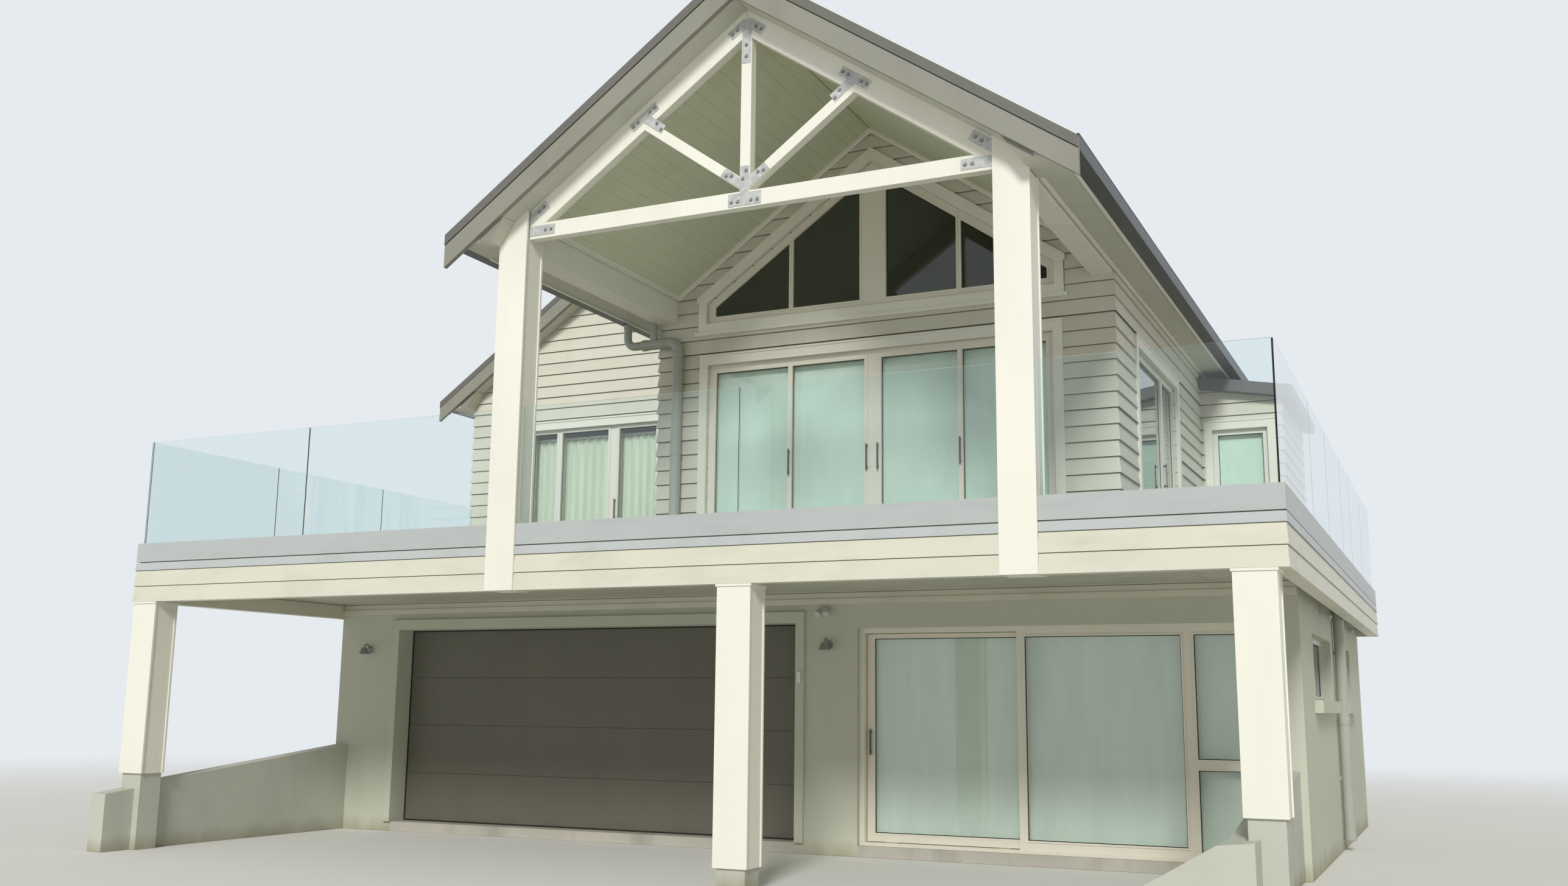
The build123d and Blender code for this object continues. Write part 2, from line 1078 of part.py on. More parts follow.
plate_width = 80.0
plate_inset = 15.0
centre_plate_half = 150.0
centre_plate_rise = 140.0
strap_drop = 34.0
centre_strap = 250.0
tee_offset = 45.0
tee_half = 150.0
tee_strap = 240.0
heel_offset = 90.0
heel_outer = 75.0
heel_inner = 130.0
heel_strap = 150.0
heel_lift = 40.0
apex_drop = 250.0
apex_strap = 190.0


def truss_plates():
    # Galvanised plates on the truss's front: centre, two rafter tees, two heels, apex.
    y0 = truss_front - plate_thick
    y1 = truss_front
    lean = math.radians(strut_angle)
    dx = math.cos(lean)
    dz = math.sin(lean)
    foot = chord_top + strut_foot
    low = chord_bottom + plate_inset
    high = chord_top - plate_inset
    half = plate_width / 2
    centre = block(-centre_plate_half, centre_plate_half, y0, y1, low, high)
    centre += block(-half, half, y0, y1, low, foot + centre_plate_rise)
    start = foot - strap_drop
    for side in (-1, 1):
        end = side * centre_strap * dx
        centre += bar(0, start, end, start + centre_strap * dz, plate_width, y0, y1)
    plates = [centre]
    rx = math.cos(math.radians(pitch))
    rz = math.sin(math.radians(pitch))
    mid = rafter_low + rafter_depth * rake / 2
    reach = (rafter_low - foot + math.tan(lean) * king_half) / (math.tan(lean) + slope)
    cx = reach + tee_offset
    cz = mid - slope * cx
    for side in (-1, 1):
        tee = bar(
            side * (cx - tee_half * rx), cz + tee_half * rz,
            side * (cx + tee_half * rx), cz - tee_half * rz, plate_width, y0, y1,
        )
        end = side * (cx - tee_strap * dx)
        tee += bar(side * cx, cz, end, cz - tee_strap * dz, plate_width, y0, y1)
        plates.append(tee)
    hx = tall_post_inner - heel_offset
    hz = chord_bottom + chord_depth / 2
    for side in (-1, 1):
        ends = sorted((side * (hx + heel_outer), side * (hx - heel_inner)))
        heel = block(ends[0], ends[1], y0, y1, low, high)
        top = hz + heel_strap * rz + heel_lift
        heel += bar(side * hx, hz, side * (hx - heel_strap * rx), top, plate_width, y0, y1)
        plates.append(heel)
    apex = block(-half, half, y0, y1, rafter_low - apex_drop, mid)
    for side in (-1, 1):
        apex += bar(0, mid, side * apex_strap * rx, mid - apex_strap * rz, plate_width, y0, y1)
    plates.append(apex)
    return plates


def porch_eave_beams():
    solids = []
    front = -tall_post_proud + tall_post_depth
    for side in (-1, 1):
        inner = side * (gable_half - eave_beam_width)
        outer = side * gable_half
        outline = [
            (inner, eave_beam_bottom),
            (outer, eave_beam_bottom),
            (outer, main_under(outer)),
            (inner, main_under(inner)),
        ]
        solids.append(along_y(outline, front, gable_setback))
    return solids


def garage_door():
    # Sectional door behind the opening, with a groove between its four leaves.
    overlap = 60.0
    thick = 40.0
    groove = 12.0
    groove_deep = 10.0
    y0 = lower_inner
    top = garage_head + overlap
    door = block(
        garage_left - overlap, garage_right + overlap, y0, y0 + thick, slab_top, top
    )
    section = (garage_head - slab_top) / 4
    for step in (1, 2, 3):
        z = slab_top + step * section
        door -= block(
            garage_left, garage_right, y0 - 1, y0 + groove_deep, z - groove / 2, z + groove / 2
        )
    return door


def garage_facings():
    front = lower_setback - facing_thick
    outer = block(
        garage_left - facing_width,
        garage_right + facing_width,
        front,
        lower_setback,
        slab_top,
        garage_head + facing_width,
    )
    outer -= block(
        garage_left, garage_right, front - 1, lower_setback + 1, slab_top - 1, garage_head
    )
    lip = block(
        garage_left - facing_width - facing_cap_proud,
        garage_right + facing_width + facing_cap_proud,
        front - facing_cap_proud,
        lower_setback,
        garage_head + facing_width,
        garage_head + facing_width + facing_cap,
    )
    return outer + lip


# Glazed bay: line of the fixed middle panel's stile, and the mullion
leaf_width = 1545.0
side_light_width = 552.0
bay_mullion_width = 112.0
bay_stile = bay_left + leaf_width
bay_mullion_right = bay_right - side_light_width
bay_mullion_left = bay_mullion_right - bay_mullion_width
mid_rail_low = 865.0
mid_rail_high = 956.0
track_lip = 15.0
track_gap = 10.0


def bay_lines():
    front = lower_setback + bay_recess
    fixed = front + track_lip
    leaf = fixed + leaf_depth + track_gap
    return front, fixed, leaf


def bay_frame():
    front, fixed, leaf = bay_lines()
    back = front + bay_frame_depth
    low = slab_top
    frame = block(bay_left, bay_right, front, back, low, bay_head)
    frame -= block(
        bay_left + jamb_width, bay_right - jamb_width, front - 1, back + 1,
        low + sill_height, bay_head - jamb_width,
    )
    floor = low + sill_height
    head = bay_head - jamb_width
    mullion = block(
        bay_mullion_left, bay_mullion_right, fixed, leaf + leaf_depth, floor, head
    )
    glass_low = floor + bottom_rail + leaf_gap
    glass_high = head - rail_depth - leaf_gap
    middle = block(bay_stile, bay_mullion_left, fixed, fixed + leaf_depth, floor, head)
    middle -= block(
        bay_stile + leaf_stile, bay_mullion_left, fixed - 1, fixed + leaf_depth + 1,
        glass_low, glass_high,
    )
    side = block(
        bay_mullion_right, bay_right - jamb_width, fixed, fixed + leaf_depth, floor, head
    )
    side -= block(
        bay_mullion_right, bay_right - 2 * jamb_width, fixed - 1, fixed + leaf_depth + 1,
        floor + sill_height, mid_rail_low,
    )
    side -= block(
        bay_mullion_right, bay_right - 2 * jamb_width, fixed - 1, fixed + leaf_depth + 1,
        mid_rail_high, glass_high,
    )
    return frame + mullion + middle + side


def bay_glass():
    front, fixed, leaf = bay_lines()
    floor = slab_top + sill_height
    head = bay_head - jamb_width
    glass_low = floor + bottom_rail + leaf_gap
    glass_high = head - rail_depth - leaf_gap
    y0 = fixed + (leaf_depth - glass_thick) / 2
    y1 = y0 + glass_thick
    right = bay_right - 2 * jamb_width
    return [
        block(bay_stile + leaf_stile, bay_mullion_left, y0, y1, glass_low, glass_high),
        block(bay_mullion_right, right, y0, y1, floor + sill_height, mid_rail_low),
        block(bay_mullion_right, right, y0, y1, mid_rail_high, glass_high),
    ]


def leaf_bounds():
    left = bay_left + jamb_width + leaf_gap
    right = bay_stile + leaf_stile
    bottom = slab_top + sill_height + leaf_gap
    top = bay_head - jamb_width - leaf_gap
    return left, right, bottom, top


def sliding_leaf():
    front, fixed, y0 = bay_lines()
    y1 = y0 + leaf_depth
    left, right, bottom, top = leaf_bounds()
    leaf = block(left, right, y0, y1, bottom, top)
    leaf -= block(
        left + leaf_stile, right - leaf_stile, y0 - 1, y1 + 1, bottom + bottom_rail,
        top - rail_depth,
    )
    middle = (y0 + y1) / 2
    shoe = 120.0
    shoe_inset = 180.0
    shoe_half = 10.0
    for x in (left + shoe_inset, right - shoe_inset - shoe):
        leaf += block(
            x, x + shoe, middle - shoe_half, middle + shoe_half,
            slab_top + sill_height + leaf_seat, bottom,
        )
    return leaf


def sliding_leaf_glass():
    front, fixed, y0 = bay_lines()
    left, right, bottom, top = leaf_bounds()
    middle = y0 + leaf_depth / 2
    return block(
        left + leaf_stile,
        right - leaf_stile,
        middle - glass_thick / 2,
        middle + glass_thick / 2,
        bottom + bottom_rail,
        top - rail_depth,
    )


def window_parts(x0, x1, z0, z1, y0, depth, bar_width, mullions):
    # A frame across the front view with its panes; mullions are (left, right) pairs.
    frame = block(x0, x1, y0, y0 + depth, z0, z1)
    edges = [x0 + bar_width]
    for left, right in mullions:
        edges += [left, right]
    edges.append(x1 - bar_width)
    panes = []
    middle = y0 + depth / 2
    for left, right in zip(edges[0::2], edges[1::2]):
        frame -= block(left, right, y0 - 1, y0 + depth + 1, z0 + bar_width, z1 - bar_width)
        panes.append(
            block(
                left, right, middle - glass_thick / 2, middle + glass_thick / 2,
                z0 + bar_width, z1 - bar_width,
            )
        )
    return frame, panes


def side_window_parts(y0, y1, z0, z1, x0, depth, bar_width, mullions):
    # The same across the side view.
    frame = block(x0, x0 + depth, y0, y1, z0, z1)
    edges = [y0 + bar_width]
    for left, right in mullions:
        edges += [left, right]
    edges.append(y1 - bar_width)
    panes = []
    middle = x0 + depth / 2
    for left, right in zip(edges[0::2], edges[1::2]):
        frame -= block(x0 - 1, x0 + depth + 1, left, right, z0 + bar_width, z1 - bar_width)
        panes.append(
            block(
                middle - glass_thick / 2, middle + glass_thick / 2, left, right,
                z0 + bar_width, z1 - bar_width,
            )
        )
    return frame, panes


frame_bar = 80.0
slim_bar = 60.0
thin_bar = 45.0
frame_depth = 60.0
frame_setback = 30.0
side_mullion_inner = 870.0
side_mullion_outer = 918.0
centre_mullion = 88.0
raked_centre_mullion = 140.0
narrow_mullion = 50.0
wing_first_light = 391.0
wing_first_mullion = 84.0
wing_second_light = 1161.0
wing_second_mullion = 161.0


def upper_doors():
    # Four leaves, the middle two meeting on the centre line.
    y0 = gable_setback + frame_setback
    inner = side_mullion_inner
    outer = side_mullion_outer
    mullions = [(-outer, -inner), (-centre_mullion, centre_mullion), (inner, outer)]
    return window_parts(
        -upper_door_half, upper_door_half, deck_top, upper_door_head, y0, frame_depth,
        frame_bar, mullions,
    )


def gable_window():
    y0 = gable_setback + frame_setback
    y1 = y0 + frame_depth
    frame = along_y(gable_window_outline(0), y0, y1)
    opening = along_y(gable_window_outline(-frame_bar), y0 - 1, y1 + 1)
    middle = (y0 + y1) / 2
    pane = along_y(
        gable_window_outline(-frame_bar), middle - glass_thick / 2, middle + glass_thick / 2
    )
    inner = side_mullion_inner
    outer = side_mullion_outer
    bars = [(-outer, -inner), (-raked_centre_mullion, raked_centre_mullion), (inner, outer)]
    for left, right in bars:
        post = block(left, right, y0 - 5, y1 + 5, gable_window_sill, ceiling_ridge)
        opening -= post
        pane -= post
    return frame - opening, pane.solids()


def wing_slider():
    y0 = wing_setback + frame_setback
    first = wing_door_left + wing_first_light
    second = wing_door_left + wing_second_light
    mullions = [(first, first + wing_first_mullion), (second, second + wing_second_mullion)]
    return window_parts(
        wing_door_left, wing_door_right, deck_top, upper_door_head, y0, frame_depth, thin_bar,
        mullions,
    )


def right_slider():
    x0 = gable_half - frame_setback - frame_depth
    half = frame_bar / 2
    mullions = [(slider_mullion - half, slider_mullion + half)]
    return side_window_parts(
        slider_near, slider_far, deck_top, upper_door_head, x0, frame_depth, slim_bar, mullions
    )


def right_slider_facings():
    # The same boards as round the other doors, turned on to the side wall.
    boards = door_facing(slider_near, slider_far, -gable_half)
    return Rot(0, 0, 90) * boards


def lower_windows():
    frames = []
    panes = []
    recess = 90.0
    half = narrow_mullion / 2
    x0 = lower_right - recess - frame_depth
    for y0, y1 in side_window_spans():
        middle = (y0 + y1) / 2
        frame, glass = side_window_parts(
            y0, y1, side_window_sill, side_window_head, x0, frame_depth, thin_bar,
            [(middle - half, middle + half)],
        )
        frames.append(frame)
        panes += glass
    y0 = deck_depth - cladding - recess
    for x0, x1 in back_window_spans():
        middle = (x0 + x1) / 2
        frame, glass = window_parts(
            x0, x1, side_window_sill, side_window_head, y0, frame_depth, thin_bar,
            [(middle - half, middle + half)],
        )
        frames.append(frame)
        panes += glass
    return frames, panes


def window_sills():
    proud = 72.0
    height = 113.0
    reach = 55.0
    low = side_window_sill - height
    solids = []
    for y0, y1 in side_window_spans():
        solids.append(
            block(
                lower_right, lower_right + proud, y0 - reach, y1 + reach, low, side_window_sill
            )
        )
    back = deck_depth - cladding
    for x0, x1 in back_window_spans():
        solids.append(
            block(x0 - reach, x1 + reach, back, back + proud, low, side_window_sill)
        )
    return solids


def rear_upper_windows():
    frames = []
    panes = []
    y0 = deck_depth - frame_setback - frame_depth
    for middle, half in rear_windows():
        frame, glass = window_parts(
            middle - half, middle + half, rear_window_sill, upper_door_head, y0, frame_depth,
            slim_bar, [(middle - slim_bar / 2, middle + slim_bar / 2)],
        )
        frames.append(frame)
        panes += glass
    x0 = -deck_left + frame_setback
    middle = (wing_side_near + wing_side_far) / 2
    frame, glass = side_window_parts(
        wing_side_near, wing_side_far, rear_window_sill, upper_door_head, x0, frame_depth,
        slim_bar, [(middle - slim_bar / 2, middle + slim_bar / 2)],
    )
    frames.append(frame)
    panes += glass
    frame, glass = window_parts(
        bay_window_left, bay_window_right, bay_window_sill, bay_window_head,
        bay_setback + frame_setback, frame_depth, slim_bar, [],
    )
    frames.append(frame)
    panes += glass
    return frames, panes


# Balustrade joints, along the front and along each side
front_joint_offset = 2051.0
front_joint_left = -deck_left + front_joint_offset
front_joint_middle = -24.0
left_joints = (1725.0, 3416.0)
right_joints = (2306.0, 3746.0, 5306.0, 6470.0, 8040.0)


def front_glass():
    y0 = pane_setback
    y1 = y0 + pane_thick
    half = pane_gap / 2
    outer = tall_post_inner + tall_post_width + pane_post_gap
    inner = tall_post_inner - pane_post_gap
    left = -deck_left + pane_setback - pane_thick / 2
    right = deck_right - pane_setback - pane_thick / 2
    spans = [
        (left, front_joint_left - half),
        (front_joint_left + half, -outer),
        (-inner, front_joint_middle - half),
        (front_joint_middle + half, inner),
        (outer, right),
    ]
    return [block(x0, x1, y0, y1, cap_top, glass_top) for x0, x1 in spans]


def side_glass(x0, joints, end):
    half = pane_gap / 2
    starts = [pane_setback + pane_thick + half]
    ends = []
    for joint in joints:
        ends.append(joint - half)
        starts.append(joint + half)
    ends.append(end)
    return [
        block(x0, x0 + pane_thick, y0, y1, cap_top, glass_top) for y0, y1 in zip(starts, ends)
    ]


def left_glass():
    return side_glass(
        -deck_left + pane_setback - pane_thick / 2, left_joints, wing_setback - pane_post_gap
    )


def right_glass():
    # Down the whole side, with a short return along the back to the rear bay.
    x0 = deck_right - pane_setback - pane_thick / 2
    y1 = deck_depth - pane_setback
    back = block(
        gable_half + bay_reach + pane_post_gap, x0 + pane_thick, y1 - pane_thick, y1,
        cap_top, glass_top,
    )
    return side_glass(x0, right_joints, y1 - pane_thick - pane_gap / 2) + [back]


# Downpipes: the wide pipes, the narrow outlets that feed them and their straps
pipe_radius = 55.0
outlet_radius = 42.0
pipe_gap = 12.0
wall_gap = 35.0
strap_height = 40.0
strap_half = 15.0
lower_pipe_offset = 3140.0


def lower_downpipe():
    x = lower_right + pipe_radius + pipe_gap
    y = lower_setback + lower_pipe_offset
    height = soffit - slab_top
    pipe = Pos(x, y, slab_top + height / 2) * Cylinder(pipe_radius, height)
    for share in (0.25, 0.78):
        z = slab_top + share * height
        pipe += block(lower_right, x, y - strap_half, y + strap_half, z, z + strap_height)
    return pipe


upper_pipe_offset = 252.0
upper_pipe_drop = 245.0
outlet_inset = 45.0
outlet_run = 185.0
second_outlet_gap = 2.0
pipe_bend = 95.0


def upper_downpipe():
    # From the gutter's outlet across below the eave, then down the wall to the deck.
    y = gable_setback - wall_gap - pipe_radius
    x = -gable_half + upper_pipe_offset
    run = eave_soffit - upper_pipe_drop
    outlet = -eave - outlet_inset
    join = outlet + outlet_run
    bend = FilletPolyline(
        (outlet, y, eave_soffit), (outlet, y, run), (join, y, run), radius=pipe_bend
    )
    pipe = sweep(Plane(bend @ 0, z_dir=bend % 0) * Circle(outlet_radius), path=bend)
    path = FilletPolyline((join, y, run), (x, y, run), (x, y, deck_top), radius=pipe_bend)
    pipe += sweep(Plane(path @ 0, z_dir=path % 0) * Circle(pipe_radius), path=path)
    second = Pos(-gable_half - outlet_radius - second_outlet_gap, y, run + upper_pipe_drop / 2)
    pipe += second * Cylinder(outlet_radius, upper_pipe_drop)
    for share in (0.25, 0.8):
        z = deck_top + share * (run - deck_top)
        pipe += block(
            x - strap_half, x + strap_half, y, gable_setback, z, z + strap_height
        )
    return pipe


# Fittings on the lower walls: two lamps, a twin sensor light, two side lights, a keypad
lamp_height = 1964.0
lamp_left_offset = 435.0
lamp_right_offset = 344.0
sensor_offset = 304.0
lamp_left = -deck_left + lamp_left_offset
lamp_right = garage_right + lamp_right_offset
lamp_plate_radius = 42.0
lamp_plate_thick = 14.0
lamp_reach = 105.0
lamp_rise = 45.0
lamp_neck_radius = 9.0
lamp_bend = 22.0
shade_wide = 62.0
shade_narrow = 26.0
shade_height = 70.0
sensor_x = garage_right + sensor_offset
sensor_drop = 194.0
sensor_width = 90.0
sensor_depth = 35.0
sensor_high = 40.0
sensor_head_radius = 30.0
sensor_head_length = 80.0
side_light_drop = 190.0
keypad_height = 1654.0
keypad_width = 36.0
keypad_high = 110.0
keypad_thick = 22.0


def wall_lamp(x):
    # Round back plate, a bent neck and a shade that points down.
    half = lamp_plate_thick / 2
    back = lower_setback - half
    front = lower_setback - lamp_reach
    top = lamp_height + lamp_rise
    plate = Pos(x, back, lamp_height) * Rot(90, 0, 0) * Cylinder(lamp_plate_radius, 2 * half)
    neck = FilletPolyline(
        (x, back, lamp_height),
        (x, lower_setback - lamp_reach / 2, top),
        (x, front, top),
        (x, front, lamp_height),
        radius=lamp_bend,
    )
    arm = sweep(Plane(neck @ 0, z_dir=neck % 0) * Circle(lamp_neck_radius), path=neck)
    shade = Pos(x, front, lamp_height - shade_height / 2 + 2 * lamp_neck_radius) * Cone(
        shade_wide, shade_narrow, shade_height
    )
    return plate + arm + shade


def sensor_light():
    front = lower_setback
    low = soffit - sensor_drop
    half = sensor_width / 2
    base = block(
        sensor_x - half, sensor_x + half, front - sensor_depth, front, low, low + sensor_high
    )
    for side in (-1, 1):
        place = Pos(sensor_x + side * half, front - 1.8 * sensor_depth, low - sensor_high / 4)
        base += place * Rot(70, 0, 0) * Cylinder(sensor_head_radius, sensor_head_length)
    return base


def side_light(y):
    # A single head that points down from the right wall, above a window.
    low = soffit - side_light_drop
    half = sensor_width / 2
    base = block(
        lower_right, lower_right + sensor_depth, y - half, y + half, low, low + sensor_high
    )
    place = Pos(lower_right + 1.8 * sensor_depth, y, low - sensor_high / 4) * Rot(0, 70, 0)
    return base + place * Cylinder(sensor_head_radius, sensor_head_length)


def keypad():
    front = lower_setback - facing_thick
    middle = garage_right + facing_width / 2
    half = keypad_width / 2
    return block(
        middle - half, middle + half, front - keypad_thick, front,
        keypad_height - keypad_high / 2, keypad_height + keypad_high / 2,
    )


def wall_fittings():
    lamps = [wall_lamp(lamp_left), wall_lamp(lamp_right)]
    sides = [side_light((y0 + y1) / 2) for y0, y1 in side_window_spans()]
    return lamps + sides + [sensor_light(), keypad()]


def shift_of(groups):
    # The part is set down with its box centred on the origin and its foot at zero.
    boxes = [solid.bounding_box() for group in groups for solid in group]
    x = (min(box.min.X for box in boxes) + max(box.max.X for box in boxes)) / 2
    y = (min(box.min.Y for box in boxes) + max(box.max.Y for box in boxes)) / 2
    return Vector(-x, -y, -min(box.min.Z for box in boxes))


def as_list(shape):
    if isinstance(shape, (list, ShapeList)):
        found = []
        for item in shape:
            found += as_list(item)
        return found
    return list(shape.solids())


upper_door_frame, upper_door_panes = upper_doors()
gable_window_frame, gable_window_panes = gable_window()
wing_frame, wing_panes = wing_slider()
right_frame, right_panes = right_slider()
lower_frames, lower_panes = lower_windows()
rear_frames, rear_panes = rear_upper_windows()

pieces = {
    "ground_slab": ground_slab(),
    "front_wall_left_pier": front_pier(-deck_left + cladding, garage_left),
    "front_wall_middle_pier": front_pier(garage_right, bay_left),
    "front_wall_right_pier": front_pier(bay_right, lower_right),
    "front_wall_lintels": front_lintels(),
    "lower_left_wall": lower_left_wall(),
    "lower_right_wall": lower_right_wall(),
    "lower_back_wall": lower_back_wall(),
    "lower_posts": lower_posts(),
    "post_plinths": post_plinths(),
    "left_retaining_wall": left_retaining_wall(),
    "right_stub_wall": right_stub_wall(),
    "box_beam": box_beam(),
    "floor_structure": floor_structure(),
    "rim_beam": rim_beam(),
    "fascia_boards": fascia_boards(),
    "fascia_band": fascia_band(),
    "deck_cap": deck_cap(),
    "deck_boards": deck_boards(),
    "upper_floor": inner_floor() + rear_bay_floor(),
    "tall_posts": tall_posts(),
    "truss_rafters": truss_rafters(),
    "truss_chord": truss_chord(),
    "truss_king_post": truss_king_post(),
    "truss_struts": truss_struts(),
    "truss_plates": truss_plates(),
    "porch_eave_beams": porch_eave_beams(),
    "barge_boards": [front_barge(), wing_barge(), rear_barge()],
    "barge_flashings": [front_flashing(), wing_flashing()],
    "roof_left": roof_left(),
    "roof_right": roof_right(),
    "wing_roof": wing_roof(),
    "ridge_caps": ridge_caps(),
    "eave_gutters": eave_gutters(),
    "gable_wall": gable_wall(),
    "upper_left_wall": upper_left_wall(),
    "upper_right_wall": upper_right_wall(),
    "upper_back_wall": upper_back_wall(),
    "valley_beam": valley_beam(),
    "wing_front_wall": wing_front_wall(),
    "wing_left_wall": wing_left_wall(),
    "rear_bay_walls": [rear_bay_walls()],
    "rear_bay_roof": rear_bay_roof(),
    "facing_boards": [gable_facings(), wing_facings(), right_slider_facings()],
    "garage_door": garage_door(),
    "garage_facings": garage_facings(),
    "bay_frame": bay_frame(),
    "bay_glass": bay_glass(),
    "sliding_leaf": sliding_leaf(),
    "sliding_leaf_glass": sliding_leaf_glass(),
    "upper_door_frames": [upper_door_frame, wing_frame, right_frame],
    "gable_window_frame": gable_window_frame,
    "window_frames": [lower_frames, rear_frames],
    "upper_glass": [upper_door_panes, gable_window_panes, wing_panes, right_panes],
    "window_glass": [lower_panes, rear_panes],
    "window_sills": window_sills(),
    "glass_balustrade": [front_glass(), left_glass(), right_glass()],
    "downpipes": [lower_downpipe(), upper_downpipe()],
    "wall_fittings": wall_fittings(),
}

lists = {name: as_list(shape) for name, shape in pieces.items()}
move = shift_of(lists.values())
print("moved by", round(move.X, 3), round(move.Y, 3), round(move.Z, 3))
for name, solids in lists.items():
    placed = [Pos(move.X, move.Y, move.Z) * solid for solid in solids]
    shape = placed[0] if len(placed) == 1 else Compound(children=placed)
    export_step(shape, os.path.join("parts", name + ".step"))
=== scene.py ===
import math
import random

import bpy
import bmesh
from mathutils import Matrix, Vector


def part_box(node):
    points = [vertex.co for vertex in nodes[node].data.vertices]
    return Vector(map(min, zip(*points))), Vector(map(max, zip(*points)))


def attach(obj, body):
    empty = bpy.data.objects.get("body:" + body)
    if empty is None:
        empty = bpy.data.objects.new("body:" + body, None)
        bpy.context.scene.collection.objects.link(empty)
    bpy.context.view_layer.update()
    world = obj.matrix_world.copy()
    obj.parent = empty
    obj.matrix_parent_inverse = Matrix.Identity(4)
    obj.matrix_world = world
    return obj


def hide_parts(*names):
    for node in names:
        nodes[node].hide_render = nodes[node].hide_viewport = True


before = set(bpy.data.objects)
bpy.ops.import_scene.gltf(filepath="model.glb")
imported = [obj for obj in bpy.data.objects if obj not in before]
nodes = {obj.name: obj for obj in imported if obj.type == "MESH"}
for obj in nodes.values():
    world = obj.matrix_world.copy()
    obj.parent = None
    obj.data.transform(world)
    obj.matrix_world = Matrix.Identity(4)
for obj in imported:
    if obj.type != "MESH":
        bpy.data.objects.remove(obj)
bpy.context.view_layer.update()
random.seed(7)

# Everything is drawn in millimetres from the main ridge line and the deck's front face.
postLow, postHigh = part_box("tall_posts")
ridgeX = (postLow.x + postHigh.x) / 2
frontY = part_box("fascia_boards")[0].y
toFrame = Matrix.Translation((ridgeX, frontY, 0)) @ Matrix.Scale(0.001, 4)
toPlan = toFrame.inverted()


def planBox(nodeName):
    low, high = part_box(nodeName)
    return toPlan @ low, toPlan @ high


# the driving sizes, read from the frame's own pieces
gableLow, gableHigh = planBox("gable_wall")
wingLow, wingHigh = planBox("wing_front_wall")
deckLow, deckHigh = planBox("fascia_boards")
doorsLow, doorsHigh = planBox("upper_door_frames")
rakedLow, rakedHigh = planBox("gable_window_frame")
roofLow, roofHigh = planBox("roof_right")
wingRoofLow = planBox("wing_roof")[0]
capLow = planBox("deck_cap")[0]
bayLow, bayHigh = planBox("rear_bay_walls")
garageLow, garageHigh = planBox("garage_facings")
lowerHigh = planBox("lower_right_wall")[1]
gableHalf = gableHigh.x
gableFront = gableLow.y
ceilingRidge = gableHigh.z
floorTop = gableLow.z
wingFront = wingLow.y
wingCeilingRidge = wingHigh.z
houseBack = deckHigh.y
deckTop = doorsLow.z
doorHead = doorsHigh.z
wingRidge = (deckLow.x - gableHalf) / 2
roofDepth = roofHigh.z - ceilingRidge
eaveSoffit = roofLow.z
wingEaveSoffit = wingRoofLow.z
slabTop = garageLow.z
wallFace = garageHigh.y
pitch = math.radians(35)
slope = math.tan(pitch)
rake = 1 / math.cos(pitch)
valleyX = -(ceilingRidge - wingCeilingRidge - slope * wingRidge) / (2 * slope)
facingWidth = 90
mainBody = "house"


def mainUnder(x):
    return ceilingRidge - slope * abs(x)


def wingUnder(x):
    return wingCeilingRidge - slope * abs(x - wingRidge)


# how a wall is turned: each gives a place from a length along it, a height and a reach outward
def frontAt(y):
    return lambda u, z, out: Vector((u, y - out, z))


def backAt(y):
    return lambda u, z, out: Vector((u, y + out, z))


def rightAt(x):
    return lambda u, z, out: Vector((x + out, u, z))


def leftAt(x):
    return lambda u, z, out: Vector((x - out, u, z))


def linear(r, g, b):
    # from the 0 to 255 values seen on a screen
    def one(v):
        v /= 255
        return v / 12.92 if v <= 0.04045 else ((v + 0.055) / 1.055) ** 2.4
    return (one(r), one(g), one(b), 1)


def makePiece(name, mesh, material, body=mainBody, slot=None, smooth=False, stands=()):
    bmesh.ops.recalc_face_normals(mesh, faces=mesh.faces)
    data = bpy.data.meshes.new(name)
    mesh.to_mesh(data)
    mesh.free()
    data.transform(toFrame)
    piece = bpy.data.objects.new(name, data)
    bpy.context.scene.collection.objects.link(piece)
    data.materials.append(material)
    for face in data.polygons:
        face.use_smooth = smooth
    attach(piece, body)
    if stands:
        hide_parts(*stands)
    return piece


def addPrism(mesh, front, back, soft=0):
    # a solid between two like outlines, its edges eased by soft millimetres
    a = [mesh.verts.new(p) for p in front]
    b = [mesh.verts.new(p) for p in back]
    faces = [mesh.faces.new(a), mesh.faces.new(list(reversed(b)))]
    for i in range(len(a)):
        j = (i + 1) % len(a)
        faces.append(mesh.faces.new((a[j], a[i], b[i], b[j])))
    if soft:
        edges = list(dict.fromkeys(e for f in faces for e in f.edges))
        bmesh.ops.bevel(mesh, geom=edges, offset=soft, segments=2, profile=0.6, affect="EDGES")


def addShape(mesh, at, outline, out0, out1, soft=0):
    # an outline of (u, z) points on a wall, from out0 to out1
    addPrism(mesh, [at(u, z, out1) for u, z in outline], [at(u, z, out0) for u, z in outline], soft)


def addBar(mesh, x0, x1, y0, y1, z0, z1, soft=0):
    addShape(mesh, frontAt(0), rectangle(x0, x1, z0, z1), -y1, -y0, soft)


def joinRows(mesh, rows, closed=True):
    # faces between each row of corners and the next, where closed with each row as a ring
    for a, b in zip(rows, rows[1:]):
        for i in range(len(a) if closed else len(a) - 1):
            j = (i + 1) % len(a)
            mesh.faces.new((a[i], a[j], b[j], b[i]))


def addRing(mesh, at, outer, inner, out0, out1):
    # a flat frame between two outlines on a wall
    rows = []
    for points, out in ((outer, out1), (inner, out1), (inner, out0), (outer, out0)):
        rows.append([mesh.verts.new(at(u, z, out)) for u, z in points])
    joinRows(mesh, rows + rows[:1])


def rectangle(u0, u1, z0, z1):
    return [(u0, z0), (u1, z0), (u1, z1), (u0, z1)]


